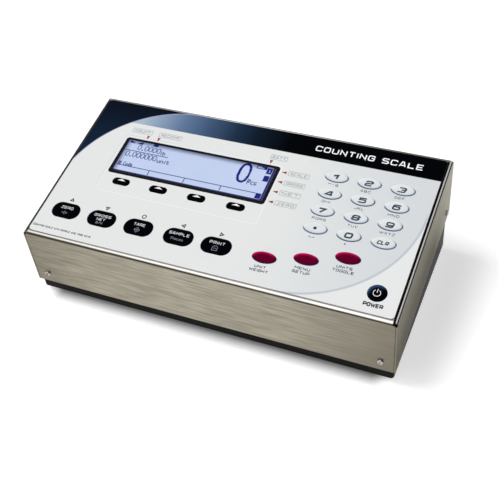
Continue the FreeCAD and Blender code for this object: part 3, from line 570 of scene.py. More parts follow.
# ---- printed shapes: thin closed prisms ----
class Artwork:
    """Gathers flat shapes in panel millimetres and makes them one thin mesh with several inks."""

    def __init__(self, low=-0.012, high=0.02):
        self.low, self.high = low, high
        self.vertices, self.faces, self.inks, self.slots = [], [], [], []

    def add(self, vertices, faces, ink):
        if ink not in self.slots:
            self.slots.append(ink)
        first = len(self.vertices)
        self.vertices += vertices
        self.faces += [tuple(first + i for i in face) for face in faces]
        self.inks += [self.slots.index(ink)] * len(faces)

    def polygon(self, points, ink):
        """Prism over one convex or simple outline, given anticlockwise."""
        n = len(points)
        vertices = [(x, y, self.low) for x, y in points] + [(x, y, self.high) for x, y in points]
        faces = [tuple(range(n - 1, -1, -1)), tuple(range(n, 2 * n))]
        faces += [(k, (k + 1) % n, n + (k + 1) % n, n + k) for k in range(n)]
        self.add(vertices, faces, ink)

    def box(self, x0, x1, y0, y1, ink):
        self.polygon([(x0, y0), (x1, y0), (x1, y1), (x0, y1)], ink)

    def strip(self, left, right, ink, closed=False):
        """Prism between two rails with the same number of points; left is on the left going along."""
        n = len(left)
        vertices = [(x, y, z) for z in (self.low, self.high) for rail in (right, left) for x, y in rail]
        faces = []
        for k in range(n if closed else n - 1):
            j = (k + 1) % n
            faces += [(2 * n + k, 2 * n + j, 3 * n + j, 3 * n + k), (n + k, n + j, j, k),
                      (k, j, 2 * n + j, 2 * n + k), (3 * n + k, 3 * n + j, n + j, n + k)]
        if not closed:
            faces += [(n, 0, 2 * n, 3 * n), (n - 1, 2 * n - 1, 4 * n - 1, 3 * n - 1)]
        self.add(vertices, faces, ink)

    def stroke(self, points, line, ink, closed=False):
        """A line of even thickness through points, with square ends and mitred corners."""
        points = [Vector(p) for p in points]
        n = len(points)
        left, right = [], []
        for k, point in enumerate(points):
            before = points[k - 1] if closed or k else None
            after = points[(k + 1) % n] if closed or k < n - 1 else None
            into = (point - before).normalized() if before else (after - point).normalized()
            out = (after - point).normalized() if after else into
            side = Vector((-(into + out).y, (into + out).x)).normalized()
            reach = line / 2 / max(side.dot(Vector((-into.y, into.x))), 0.45)
            left.append(tuple(point + side * reach))
            right.append(tuple(point - side * reach))
        self.strip(left, right, ink, closed)

    def frame(self, at, size, corner, line, ink):
        """Outline of a round-cornered box, line millimetres thick."""
        outer, inner = [[(at[0] + p.x, at[1] + p.y) for p, _ in outline(size, corner, inset, 32)]
                        for inset in (0.0, line)]
        self.strip(inner, outer, ink, closed=True)

    def letters(self, words, at, height, width, line, ink, slant=0.0):
        """Words in drawn letters, centred on at, height tall and width wide over the ink."""
        strokes, across = [], 0.0
        for character in words:
            paths, wide = GLYPHS.get(character, SPACE)
            strokes += [(closed, [(across + x, y) for x, y in points]) for closed, points in paths]
            across += wide + LETTER_SPACE
        across -= LETTER_SPACE
        x_scale = (width - line) / across if across else 1.0
        y_scale = (height - line) / GRID
        for closed, points in strokes:
            moved = [(at[0] + (x - across / 2) * x_scale + (y - GRID / 2) * y_scale * slant,
                      at[1] + (y - GRID / 2) * y_scale) for x, y in points]
            self.stroke(moved, line, ink, closed)

    def build(self, name, to_world):
        """An object of all the shapes, each point carried by to_world(x, y, height)."""
        mesh = bpy.data.meshes.new(name)
        mesh.from_pydata([to_world(*v) for v in self.vertices], [], self.faces)
        for ink in self.slots:
            mesh.materials.append(INKS[ink])
        mesh.polygons.foreach_set("material_index", self.inks)
        return add_object(name, mesh)


def ink(name, colour, roughness=0.45):
    s = Shader("ink_" + name, Specular_IOR_Level=0.35)
    s.set("Base Color", tinted(s, colour, 0.06, s.noise(1.5, 2.0)))
    s.mottled(s.noise(2.0, 2.0), roughness - 0.04, roughness + 0.05)
    return s.material


INKS = {name: ink(name, srgb(*rgb)) for name, rgb in {
    "digit": (44, 62, 72), "small": (30, 44, 52), "label": (8, 32, 54), "pale": (140, 152, 156),
    "white": (244, 246, 247), "dim": (120, 132, 140), "black": (5, 8, 16), "red": (150, 35, 50),
}.items()}
INKS["border"] = ink("border", srgb(6, 6, 16), 0.25)
INKS["navy"] = ink("navy", srgb(54, 53, 100), 0.25)


def arc_points(at, radius, start, end, steps):
    """Points along an arc, angles in degrees, anticlockwise."""
    turns = [math.radians(start + (end - start) * k / steps) for k in range(steps + 1)]
    return [(at[0] + radius * math.cos(t), at[1] + radius * math.sin(t)) for t in turns]


# ---- making the keys ----
# Each kind of key: what key_film is told, its corner radius or None for an oval, and the dome's slope.
KINDS = {
    "number_key": (((216, 220, 222), (234, 237, 238), (182, 190, 202), 0.7, 0.7,
                    ((80, 94, 122), 0.08, 1.0, 1.12), 3.2), None, 1.8),
    "function_key": (((2, 3, 7), (14, 18, 26), (0, 0, 2), 0.6, 0.6, ((24, 34, 44), 0.5, 0.2, 0.4), 1.6),
                     7.0, 1.3),
    "soft_key": (((2, 2, 5), (14, 17, 24), (0, 0, 2), 0.5, 0.6, ((24, 30, 40), 0.5, 0.2, 0.4), 0.8),
                 3.3, 0.6),
    "red_key": (((92, 0, 36), (205, 22, 92), (60, 0, 34), 0.95, 0.7, ((30, 44, 110), 0.3, 0.9, 0.5), 2.9),
                None, 1.8),
    "power_key": (((2, 3, 7), (60, 86, 128), (0, 0, 2), 0.85, 0.8, ((40, 54, 84), 0.6, 0.2, 0.4), 3.4),
                  None, 1.8),
}
FILMS = {kind: key_film(kind, *told) for kind, (told, _, _) in KINDS.items()}
DIGIT_HIGH, LEGEND_HIGH, LEGEND_RISE, LEGEND_LINE, ICON_LINE = 5.2, 2.5, 2.55, 0.34, 0.4
DIGIT = (6.1, 0.0, 1.25)  # a digit's width, shift across and line; DIGITS holds those that differ
DIGITS = {"0": (6.2, 0.0, 1.4), "1": (4.7, -1.0, 1.6), "3": (6.2, -0.5, 1.2), "4": (6.7, -0.3, 1.4),
          "7": (6.2, -0.7, 1.45)}


def digit_art(art, character):
    if character == ".":
        art.polygon(arc_points((0.0, -0.2), 1.35, 0.0, 345.0, 23), "digit")
    elif character == "CLR":
        art.letters("CLR", (-0.2, -0.3), 3.6, 8.6, 0.88, "digit", 0.22)
    else:
        width, shift, line = DIGITS.get(character, DIGIT)
        art.letters(character, (shift, -0.3), DIGIT_HIGH, width, line, "digit", 0.16)


def legend(art, words, across, wide):
    art.letters(words, (across, LEGEND_RISE), LEGEND_HIGH, wide, LEGEND_LINE, "white")


def zero_art(art):
    legend(art, "ZERO", 0.1, 10.6)
    art.letters(">", (-1.9, -2.4), 1.6, 1.6, 0.35, "dim")
    art.letters("<", (1.9, -2.4), 1.6, 1.6, 0.35, "dim")
    art.letters("0", (0.0, -2.4), 2.7, 1.7, 0.35, "dim")


def gross_net_art(art):
    art.letters("GROSS", (0.0, 2.6), 2.4, 14.8, 0.33, "white")
    art.letters("NET", (0.0, -0.9), 2.4, 7.5, 0.33, "white")
    art.letters("B/N", (0.0, -4.2), 2.3, 5.8, ICON_LINE, "dim")


def tare_art(art):
    legend(art, "TARE", 0.1, 9.9)
    art.stroke([(-2.3, -2.5), (0.0, -4.8), (2.3, -2.5), (0.0, -0.2)], 0.42, "dim", closed=True)
    art.stroke([(-1.9, -2.5), (0.9, -2.5)], ICON_LINE, "dim")
    art.stroke([(0.0, -1.6), (1.0, -2.5), (0.0, -3.4)], ICON_LINE, "dim")


def sample_art(art):
    legend(art, "SAMPLE", 0.0, 16.9)
    art.letters("Pieces", (0.0, -2.2), 2.4, 10.3, LEGEND_LINE, "dim")


def print_art(art):
    legend(art, "PRINT", 0.1, 12.5)
    art.stroke([(-2.0, -4.4), (2.0, -4.4), (2.0, -1.5), (1.1, -0.4), (-1.1, -0.4), (-2.0, -1.5)],
               0.42, "dim", closed=True)
    art.stroke([(-1.1, -2.4), (1.1, -2.4)], ICON_LINE, "dim")


def soft_art(art):
    art.polygon([(-3.6, 0.6), (3.6, 0.6), (0.0, 2.5)], "white")


def power_art(art):
    art.stroke(arc_points((-0.2, -0.2), 2.6, 122.0, 418.0, 28), 0.45, "white")
    art.stroke([(-0.2, 0.2), (-0.2, 3.3)], 0.45, "white")


def make_key(node, slot, draw=None, *words):
    """Replaces a CAD key with its printed, domed film, and its legend as thin ink on top."""
    _, corner, rise_over = KINDS[slot]
    (u, v), size, _ = place_of(node)

    def here(x, y, z):
        return world(u + x, v + y, z)

    mesh = key_mesh(node + "_film", size, corner, rise_over)
    for vertex in mesh.vertices:
        vertex.co = here(*vertex.co)
    mesh.materials.append(FILMS[slot])
    mesh.shade_smooth()
    piece = add_object(mesh.name, mesh)
    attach(piece, node + "_body")
    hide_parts(node)
    if draw:
        art = Artwork(KEY_HIGH - 0.03, KEY_HIGH + 0.008)
        draw(art, *words)
        printed = art.build(node + "_legend", here)
        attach(printed, node + "_body")


FUNCTION_KEYS = {"key_zero": zero_art, "key_gross_net": gross_net_art, "key_tare": tare_art,
                 "key_sample": sample_art, "key_print": print_art}
RED_LABELS = {"key_unit_weight": ("UNIT", 9.0, "WEIGHT", 14.6),  # two words and their widths
              "key_menu_setup": ("MENU", 11.8, "SETUP", 13.0),
              "key_units_toggle": ("UNITS", 11.8, "TOGGLE", 16.2)}
CHARACTERS = {**{f"key_{digit}": str(digit) for digit in range(10)}, "key_point": ".", "key_clear": "CLR"}

for key, draw_legend in FUNCTION_KEYS.items():
    make_key(key, "function_key", draw_legend)
for key in RED_LABELS:
    make_key(key, "red_key")
make_key("key_power", "power_key", power_art)
for number in range(1, 5):
    make_key(f"soft_key_{number}", "soft_key", soft_art)
for key, character in CHARACTERS.items():
    make_key(key, "number_key", digit_art, character)


# ---- artwork on the overlay ----
LETTERS = {"key_2": ("ABC", 8.1, -0.6), "key_3": ("DEF", 7.6, -0.3), "key_4": ("GHI", 6.8, -0.5),
           "key_5": ("JKL", 7.4, -0.3), "key_6": ("MNO", 8.7, -0.2), "key_7": ("PQRS", 10.8, -0.2),
           "key_8": ("TUV", 7.8, -0.2), "key_9": ("WXYZ", 11.7, 0.0)}  # letters, their width and shift across
KEY_MARKS = {"key_zero": 90.0, "key_gross_net": 270.0, "key_sample": 180.0, "key_print": 0.0}  # degrees
LETTER_DROP, MARK_RISE, MARK_RADIUS = 7.9, 10.9, 1.6
TOP_ANNUNCIATORS = (("INSUFF", -111.2, -92.8), ("RECOMP", -86.6, -65.8), ("BATT", 13.2, 27.2))
SIDE_ANNUNCIATORS = (("SCALE", 107.7), ("GROSS", 97.8), ("NET", 87.8), ("ZERO", 77.7))


def annunciator(art, words, u0, u1, v0, v1):
    """A boxed word; the display points at it when it holds."""
    middle = ((u0 + u1) / 2, (v0 + v1) / 2)
    art.frame(middle, (u1 - u0, v1 - v0), 0.4, 0.35, "pale")
    art.letters(words, middle, 2.6, (u1 - u0) * 0.8, 0.45, "pale")


def overlay_print():
    """All the lettering and marks on the overlay: one thin mesh in several inks."""
    art = Artwork()
    for node, (words, wide, shift) in LETTERS.items():
        (u, v), _, _ = place_of(node)
        art.letters(words, (u + shift, v - LETTER_DROP), 2.3, wide, 0.36, "small")
    (u, v), _, _ = place_of("key_1")
    art.stroke([(u - 4.6, v - 7.3), (u - 1.9, v - 7.3)], 0.5, "small")
    art.box(u - 0.7, u, v - 7.6, v - 6.9, "small")
    art.stroke(arc_points((u + 2.6, v - LETTER_DROP), 0.95, 0.0, 330.0, 11), 0.5, "small", closed=True)
    art.box(u + 2.35, u + 2.85, v - 8.15, v - 7.65, "small")
    (u, v), _, _ = place_of("key_0")
    art.polygon(arc_points((u - 0.5, v - LETTER_DROP), 0.68, 0.0, 315.0, 7), "small")
    (u, v), _, _ = place_of("key_point")
    tray = [(u - 2.0, v - 7.4), (u - 2.0, v - 8.5), (u + 1.7, v - 8.5), (u + 1.7, v - 7.4)]
    art.stroke(tray, 0.36, "small")
    for node, (upper, upper_wide, lower, lower_wide) in RED_LABELS.items():
        (u, v), _, _ = place_of(node)
        art.letters(upper, (u, v - 8.3), 2.4, upper_wide, 0.48, "label")
        art.letters(lower, (u, v - 11.7), 2.4, lower_wide, 0.48, "label")
    (u, v), _, _ = place_of("key_power")
    art.letters("POWER", (u, v - 10.1), 3.4, 14.4, 0.86, "black")

    for node, turn in KEY_MARKS.items():
        (u, v), _, _ = place_of(node)
        arrow = arc_points((u, v + MARK_RISE), MARK_RADIUS, turn, turn + 240.0, 2)
        art.stroke(arrow, 0.78, "black", closed=True)
    (u, v), _, _ = place_of("key_tare")
    art.stroke(arc_points((u, v + MARK_RISE), MARK_RADIUS, 0.0, 345.0, 23), 0.7, "black", closed=True)

    for words, u0, u1 in TOP_ANNUNCIATORS:
        annunciator(art, words, u0, u1, 118.4, 123.2)
    for words, v in SIDE_ANNUNCIATORS:
        annunciator(art, words, 32.8, 49.8, v - 2.4, v + 2.4)
        art.polygon([(27.0, v), (31.2, v - 1.3), (31.2, v + 1.3)], "red")
    for u in (-94.6, -84.8, 15.2):
        art.polygon([(u, 113.1), (u + 1.3, 117.3), (u - 1.3, 117.3)], "red")

    art.letters("COUNTING SCALE", (88.0, 137.9), 5.6, 86.0, 1.0, "white")
    art.letters("COUNTING SCALE WITH SAMPLE AND TARE KEYS", (-119.7, 9.3), 1.8, 52.2, 0.36, "black")
    return art.build("overlay_print", world)


printed = overlay_print()
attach(printed, BODY)


# ---- display ----
DOT_ACROSS, DOT_DOWN = 0.5375, 0.515  # pitches of the 240 by 64 dots
DOTS_FROM = (-110.15, 111.7)  # upper left corner of the dots
DOT_GROWS = 0.08  # a dark dot's bleed over its neighbours
LCD_W = place_of("lcd_glass")[2]
LIT_AREA = ((-45.35, 95.28), (129.1, 32.85))  # middle and size of the part lit from behind
BORDER_INNER = (-109.7, 22.5, 76.3, 109.85)  # the clear part inside the window's black border
WINDOW_LEDGE = 1.5
# the lit colour, its random clouds, and the painted shadow of the window's border
GLOW, GLOW_CLOUD, WINDOW_BORDER_SHADOW = srgb(201, 212, 236), srgb(190, 203, 232), srgb(118, 126, 152)
BIG_NOUGHT = ((200.6, 20.5), (9.8, 19.6), 3.7, 2.3)  # in dots: middle, half its size, stroke; and roundness
SMALL_FONT = {  # seven rows of dots a character, top row first
    "l": "010 010 010 010 010 010 010", "b": "1000 1000 1110 1001 1001 1001 1110",
    "u": "00000 00000 10001 10001 10001 10001 01111", "n": "00000 00000 11110 10001 10001 10001 10001",
    "i": "010 000 010 010 010 010 010", "t": "01000 01000 11110 01000 01000 01000 00111",
    "P": "11110 10001 10001 11110 10000 10000 10000", "c": "0000 0000 0111 1000 1000 1000 0111",
    "s": "0000 0000 0111 1000 0110 0001 1110", "I": "1 1 1 1 1 1 1", "D": "110 101 101 101 101 101 110",
    "C": "011 100 100 100 100 100 011", "o": "000 000 010 101 101 101 010",
    "d": "001 001 011 101 101 101 011", "e": "000 000 010 101 111 100 011", " ": "00 00 00 00 00 00 00",
}


def display_dots():
    """The set of dots that are dark, as (column, row) from the display's upper left."""
    dark = set()

    def fill(x0, x1, y0, y1):
        dark.update((x, y) for x in range(x0, x1) for y in range(y0, y1))

    def write(words, x, y, tall=7):
        """Writes words with their top at row y, stretched to tall rows."""
        for character in words:
            rows = SMALL_FONT[character].split()
            for row in range(tall):
                bits = rows[row * 7 // tall]
                dark.update((x + k, y + row) for k, bit in enumerate(bits) if bit == "1")
            x += len(rows[0]) + 1

    def reading(words, x, y, wide=6, tall=11):
        """Writes noughts and a point, wide by tall dots each."""
        for character in words:
            if character == ".":
                fill(x + 1, x + 3, y + tall - 2, y + tall)
                x += 5
                continue
            for inset, row in ((2, 0), (1, 1), (1, tall - 2), (2, tall - 1)):
                fill(x + inset, x + wide - inset, y + row, y + row + 1)
                if inset == 1:
                    for column in range(x + 2, x + wide - 2):
                        dark.discard((column, y + row))
            fill(x, x + 1, y + 2, y + tall - 2)
            fill(x + wide - 1, x + wide, y + 2, y + tall - 2)
            x += wide + 1

    for step in range(5):  # the two wedges that point out of the upper left corner
        fill(3, 4 + 2 * step, step + 1, step + 2)
        fill(24 - 2 * step, 25, step + 1, step + 2)
    fill(43, 51, 0, 5)
    reading("0.0000", 20, 7)
    write("lb", 60, 12)
    fill(2, 75, 21, 22)
    reading("0.000000", 6, 23)
    write("unit", 61, 28)
    write("ID Code", 3, 46)
    fill(2, 232, 53, 54)
    for x in (58, 117, 176):
        fill(x, x + 1, 54, 63)

    middle, (wide, tall), stroke, power = BIG_NOUGHT
    for x in range(190, 212):
        for y in range(0, 41):
            across, along = abs(x + 0.5 - middle[0]), abs(y + 0.5 - middle[1])
            outer = (across / wide) ** power + (along / tall) ** power
            inner = (across / (wide - stroke)) ** power + (along / (tall - stroke)) ** power
            if outer <= 1 <= inner:
                dark.add((x, y))
    write("Pcs", 211, 31, 9)

    fill(215, 231, 1, 2)  # the battery, then the three marks down the right edge, the first with a 1 in it
    fill(215, 231, 6, 7)
    fill(215, 216, 1, 7)
    for step in range(5):
        fill(230 - 2 * step, 231, 6 - step, 7 - step)
    for top, bottom in ((3, 14), (18, 29), (53, 63)):
        fill(232, 240, top, bottom)
    for x, y in ((236, 5), (235, 6), (236, 6), (236, 7), (236, 8), (236, 9), (235, 10), (236, 10), (237, 10)):
        dark.discard((x, y))
    return dark


def make_display():
    """The dark dots, and the black border printed on the window."""
    dots = Artwork(LCD_W, LCD_W + 0.02)
    left, top = DOTS_FROM
    dark = display_dots()
    for column, row in sorted(dark):
        if (column - 1, row) in dark:
            continue
        end = column + 1
        while (end, row) in dark:
            end += 1
        dots.box(left + column * DOT_ACROSS - DOT_GROWS, left + end * DOT_ACROSS + DOT_GROWS,
                 top - (row + 1) * DOT_DOWN - DOT_GROWS, top - row * DOT_DOWN + DOT_GROWS, "dots")
    dots = dots.build("display_dots", world)
    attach(dots, BODY)

    at, size, high = place_of("display_window")
    size = (size[0] - 2 * WINDOW_LEDGE, size[1] - 2 * WINDOW_LEDGE)
    border = Artwork(high + 0.002, 0.0)
    u0, u1, v0, v1 = BORDER_INNER
    middle, clear = ((u0 + u1) / 2, (v0 + v1) / 2), (u1 - u0, v1 - v0)
    outer = [(at[0] + p.x, at[1] + p.y) for p, _ in outline(size, 2.6, 0.02, 64)]
    inner = [(middle[0] + p.x, middle[1] + p.y) for p, _ in outline(clear, 1.2, 0.0, 64)]
    border.strip(inner, outer, "border", closed=True)
    border.box(u1 - 1.6, u1, v0 + 0.4, v1 - 0.4, "navy")
    border = border.build("window_border", world)
    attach(border, BODY)


def lit_glass():
    """Display glass: lit from behind inside the dots' area, with a painted shadow of the window's border
    along the lit area's top and left, nearly black round it, with faint dot rows.
    """
    s = Shader("display_glass", Specular_IOR_Level=0.3)
    place = s.panel_place()
    lit = s.between(s.from_box(place, *LIT_AREA, 1.0), -0.25, 0.25, 1.0, 0.0)
    u, v, _ = s.split(place)
    grid = None
    for coordinate, pitch in ((u, DOT_ACROSS), (v, DOT_DOWN)):
        share = s.math("FRACT", s.math("DIVIDE", coordinate, pitch))
        line = s.math("GREATER_THAN", s.distance(share, 0.5), 0.46)
        grid = line if grid is None else s.math("MAXIMUM", grid, line)
    glow = s.mix(s.between(s.noise(45.0, 1.0), 0.3, 0.7, 0.0, 0.5), GLOW, GLOW_CLOUD)
    # painted shadow of the window's border over the lit area's top and left edges
    top = s.between(v, DOTS_FROM[1] - 5.2, DOTS_FROM[1] - 0.6, 0.0, 0.9)
    left = s.between(u, DOTS_FROM[0], DOTS_FROM[0] + 5.5, 0.85, 0.0)
    glow = s.mix(s.math("MAXIMUM", top, left), glow, WINDOW_BORDER_SHADOW)
    glow = s.mix(s.times(grid, 0.06), glow, srgb(120, 134, 190))
    dark = s.mix(s.noise(6.0, 2.0), srgb(50, 50, 96), srgb(40, 40, 80))
    s.set("Base Color", s.mix(lit, dark, srgb(96, 104, 130)))
    s.set("Emission Color", s.mix(lit, srgb(34, 32, 72), glow))
    s.set("Emission Strength", 0.9)
    s.mottled(s.noise(1.0, 2.0), 0.16, 0.26)
    return s.material


def dot_ink():
    s = Shader("display_dots", roughness=0.3)
    s.set("Base Color", tinted(s, srgb(12, 18, 96), 0.1, s.noise(2.0, 2.0)))
    s.set("Emission Color", tinted(s, srgb(17, 24, 118), 0.1, s.noise(4.0, 2.0)))
    s.set("Emission Strength", 0.7)
    return s.material


def clear_window():
    """Clear film: see-through, with the gloss of its hard coat."""
    s = Shader("clear_window", Specular_IOR_Level=0.5)
    s.set("Base Color", tinted(s, (0.01, 0.01, 0.014, 1.0), 0.2, s.noise(30.0, 2.0)))
    s.mottled(s.noise(8.0, 3.0), 0.05, 0.12)
    clear = s.node("BsdfTransparent", {"Color": (0.97, 0.98, 0.98, 1.0)})
    facing = s.node("LayerWeight", {"Blend": 0.5}).outputs["Facing"]
    gloss = s.math("ADD", 0.03, s.times(0.9, s.math("POWER", facing, 5.0)))
    both = s.node("MixShader", {0: gloss, 1: clear.outputs[0], 2: s.principled.outputs[0]})
    s.links.new(both.outputs[0], s.nodes["Material Output"].inputs["Surface"])
    return s.material


INKS["dots"] = dot_ink()
make_display()


# ---- materials for the CAD nodes ----
def circuit_board():
    """Green solder mask over a pattern of copper traces."""
    s = Shader("circuit_board")
    cells = s.node("TexVoronoi", {"Vector": s.place(), "Scale": 0.35}, feature="DISTANCE_TO_EDGE")
    trace = s.between(cells.outputs["Distance"], 0.04, 0.07, 1.0, 0.0)
    s.set("Base Color", s.mix(trace, (0.010, 0.085, 0.035, 1.0), (0.025, 0.19, 0.075, 1.0)))
    s.mottled(s.noise(4.0, 2.0), 0.24, 0.36)
    s.bump(trace, 0.03)
    return s.material


def ribbon():
    """Grey flat cable with a groove between its cores."""
    s = Shader("ribbon_cable")
    x = s.split(s.place())[0]
    share = s.math("FRACT", s.math("DIVIDE", x, 1.27))
    ridge = s.math("SINE", s.times(share, math.pi))
    s.set("Base Color", s.mix(s.between(ridge, 0.0, 0.4), (0.18, 0.18, 0.19, 1.0), (0.42, 0.42, 0.43, 1.0)))
    s.bump(ridge, 0.3)
    return s.material


def polyester():
    """Milky film with silver ink conductors."""
    s = Shader("polyester_film", roughness=0.35)
    x = s.split(s.place())[0]
    lines = s.between(s.math("FRACT", s.math("DIVIDE", x, 2.0)), 0.5, 0.55)
    s.set("Base Color", s.mix(lines, srgb(196, 200, 196), srgb(150, 152, 154)))
    s.bump(s.noise(0.5, 2.0), 0.005)
    return s.material


def laminated():
    """Varnished laminations round a taped winding."""
    s = Shader("transformer_core", roughness=0.4, metallic=0.3)
    y = s.split(s.place())[1]
    sheet = s.math("FRACT", s.math("DIVIDE", y, 0.5))
    s.set("Base Color", s.mix(s.between(sheet, 0.0, 0.4), (0.02, 0.02, 0.02, 1.0), (0.09, 0.08, 0.07, 1.0)))
    s.bump(sheet, 0.05)
    return s.material


MOULDED = {  # colour, roughness, grain and its depth
    "backlight": (srgb(236, 238, 242), 0.4),
    "chip_plastic": ((0.022, 0.022, 0.024, 1.0), 0.5),
    "battery_case": ((0.035, 0.036, 0.04, 1.0), 0.45),
    "foot_rubber": ((0.014, 0.014, 0.014, 1.0), 0.75, 0.5, 0.04),
    "connector_plastic": ((0.014, 0.014, 0.015, 1.0), 0.42, 0.3, 0.02),
    "gland_plastic": ((0.018, 0.018, 0.019, 1.0), 0.38, 0.4, 0.02),
    "seal_rubber": ((0.02, 0.02, 0.02, 1.0), 0.7, 0.4, 0.03),
}
EVEN = (1.0, 1.0, 1.0)
METALS = {  # colour, roughness, stretch and size of the grain
    "dome_steel": ((0.6, 0.6, 0.6, 1.0), 0.25),
    "plated_brass": ((0.66, 0.62, 0.52, 1.0), 0.24, EVEN, 0.4),
    "screw_steel": ((0.62, 0.62, 0.61, 1.0), 0.22, EVEN, 0.5),
    "cover_screw_steel": ((0.42, 0.40, 0.41, 1.0), 0.14, EVEN, 0.5),
    "strap_steel": ((0.55, 0.55, 0.54, 1.0), 0.3, (0.02, 1.0, 1.0)),
    "connector_shell": ((0.62, 0.61, 0.58, 1.0), 0.28, (0.05, 1.0, 1.0)),
}
SURFACES = {
    "stainless_sheet": stainless(),
    "black_paint": powder_coat("black_paint"),
    "overlay_film": overlay_film(),
    "clear_window": clear_window(),
    "polyester_film": polyester(),
    "display_frame": powder_coat("display_frame"),
    "display_glass": lit_glass(),
    "circuit_board": circuit_board(),
    "ribbon_cable": ribbon(),
    "transformer_core": laminated(),
    **{name: moulded(name, *looks) for name, looks in MOULDED.items()},
    **{name: metal(name, *looks) for name, looks in METALS.items()},
}
for entry in frame["record"]["subparts"]:
    node, slot_name = entry["node"], entry["material_slot"]
    if slot_name in SURFACES:
        mesh = frame["nodes"][node].data
        mesh.materials.clear()
        mesh.materials.append(SURFACES[slot_name])


# ---- serial sockets' faces ----
SOCKET_HALF_WIDE, SOCKET_HALF_HIGH, SOCKET_LEAN = 7.7, 3.4, math.radians(10)
CONTACT_PITCH, CONTACT_ROW = 2.77, 1.42
INKS["insulator"] = SURFACES["connector_plastic"]
INKS["gold"] = metal("contact_gold", (0.78, 0.60, 0.28, 1.0), 0.25)


def socket_face(node):
    """The black insulator in a serial socket's mouth, with its nine gold contact holes."""
    low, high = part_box(node)
    middle = (low + high) / 2

    def behind(x, h, out):
        return Vector((middle.x - x * MM, high.y + (out - 0.25) * MM, middle.z + h * MM))

    wide, tall = SOCKET_HALF_WIDE, SOCKET_HALF_HIGH
    lean = math.tan(SOCKET_LEAN) * tall
    art = Artwork(0.0, 0.25)
    mouth = [(lean - wide, -tall), (wide - lean, -tall), (wide + lean, tall), (-wide - lean, tall)]
    art.polygon(mouth, "insulator")
    art.low, art.high = 0.2, 0.27
    for count, row in ((5, CONTACT_ROW), (4, -CONTACT_ROW)):
        for k in range(count):
            at = ((k - (count - 1) / 2) * CONTACT_PITCH, row)
            hole, ring = [arc_points(at, radius, 0.0, 337.5, 15) for radius in (0.42, 0.75)]
            art.strip(hole, ring, "gold", closed=True)
    face = art.build(node + "_face", behind)
    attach(face, BODY)


for socket in ("serial_port_left", "serial_port_right"):
    socket_face(socket)


# ---- floor, light and camera ----
FRONT_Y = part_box("base_pan")[0].y / MM
FLOOR_HALF = 4.0  # metres
# the floor's colour, and the darker colour of its painted contact shadow in the gap under the front edge
FLOOR_TONE, CONTACT_SHADOW_TONE = (0.80, 0.80, 0.80, 1.0), (0.22, 0.22, 0.22, 1.0)
GAP_REACH = 17.0  # how far the floor looks for something over it
GAP_ENDS = (132.0, 146.0)  # the gap's darkening fades out between these distances from the middle
WHITE = (1.0, 1.0, 1.0, 1.0)


def make_floor():
    """Pale floor that glows a little, which keeps shadows as light as the photograph's. The glow fades in
    the narrow gap under the front edge, and fills the shadow beside the object evenly."""
    s = Shader("floor", roughness=0.9, Specular_IOR_Level=0.0)
    open_sky = s.node("AmbientOcclusion", {"Distance": GAP_REACH * MM}, samples=8).outputs["AO"]
    x, y, _ = s.split(s.place())
    in_front = s.between(y, FRONT_Y + 5.0, FRONT_Y + 9.0, 1.0, 0.0)
    in_front = s.times(in_front, s.between(s.distance(x), *GAP_ENDS, 1.0, 0.0))
    contact = s.between(open_sky, 0.34, 0.93)
    fill = s.between(open_sky, 0.5, 1.0, 0.46, 0.34, smooth=False)
    lifted = s.between(contact, 0.0, 1.0, 0.10, 0.48, smooth=False)
    s.set("Emission Color", WHITE)
    s.set("Emission Strength", s.blend(in_front, fill, lifted))
    base = tinted(s, FLOOR_TONE, 0.01, s.noise(300.0, 2.0))
    # painted contact shadow: the floor's colour darkens in the gap under the front edge
    contact_shadow = s.times(in_front, s.math("SUBTRACT", 1.0, contact))
    s.set("Base Color", s.mix(contact_shadow, base, CONTACT_SHADOW_TONE))
    mesh = bpy.data.meshes.new("floor")
    corners = [(x * FLOOR_HALF, y * FLOOR_HALF, 0.0) for x, y in ((-1, -1), (1, -1), (1, 1), (-1, 1))]
    mesh.from_pydata(corners, [], [(0, 1, 2, 3)])
    mesh.materials.append(s.material)
    add_object("floor", mesh)


SURROUND = 0.22
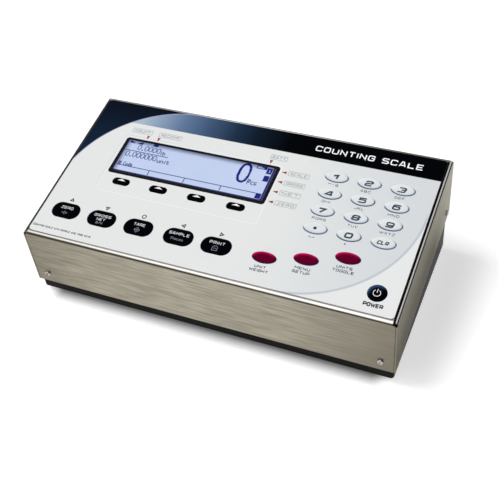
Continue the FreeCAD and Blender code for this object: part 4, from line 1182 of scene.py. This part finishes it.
# each soft box's direction, the degrees from it at which the box starts and is full, and its strength
SOFT_BOXES = (((-0.33, -0.45, 0.83), 50.0, 24.0, 1.2), ((0.70, 0.41, 0.58), 30.0, 12.0, 1.2))
SUN_FROM, SUN_ENERGY, SUN_SPREAD = (-0.46, -0.05, 0.886), 1.25, math.radians(22)


def make_light():
    """A dim surround with a large soft box in front and a smaller one behind, and a low-contrast sun."""
    surround = bpy.data.worlds.new("studio")
    bpy.context.scene.world = surround
    surround.use_nodes = True
    tree = NodeTree(surround.node_tree)
    direction = tree.node("TexCoord").outputs["Generated"]
    glow = SURROUND
    for at, start, full, strength in SOFT_BOXES:
        toward = tree.vector("DOT_PRODUCT", direction, Vector(at).normalized())
        start, full = math.cos(math.radians(start)), math.cos(math.radians(full))
        glow = tree.math("ADD", tree.between(toward, start, full, 0.0, strength), glow)
    background = tree.nodes["Background"].inputs
    tree.put(background["Color"], WHITE)
    tree.put(background["Strength"], glow)

    lamp = bpy.data.lights.new("key", "SUN")
    lamp.energy, lamp.angle = SUN_ENERGY, SUN_SPREAD
    holder = add_object("key", lamp)
    holder.rotation_mode = "QUATERNION"
    holder.rotation_quaternion = Vector(SUN_FROM).to_track_quat("Z", "Y")
    holder.visible_glossy = False


CAMERA_FROM_EDGE = Vector((242.53, -375.31, 454.65))  # mm, from the front face's middle at the seat's level
CAMERA_TURN, CAMERA_DOWN, CAMERA_ROLL = -27.60, 44.35, -6.86  # degrees
LENS = 63.2


def make_camera():
    camera = bpy.data.cameras.new("camera")
    camera.lens, camera.sensor_width, camera.clip_start = LENS, 36.0, 0.02
    turn, down = math.radians(CAMERA_TURN), math.radians(CAMERA_DOWN)
    ahead = Vector((math.sin(turn) * math.cos(down), math.cos(turn) * math.cos(down), -math.sin(down)))
    roll = Quaternion((0.0, 0.0, 1.0), math.radians(CAMERA_ROLL))
    holder = add_object("camera", camera)
    holder.location = world(0.0, 0.0, -KEYPAD_STACK) + CAMERA_FROM_EDGE * MM
    holder.rotation_mode = "QUATERNION"
    holder.rotation_quaternion = ahead.to_track_quat("-Z", "Y") @ roll
    bpy.context.scene.camera = holder


make_floor()
make_light()
make_camera()
bpy.context.scene.view_settings.view_transform = "Standard"
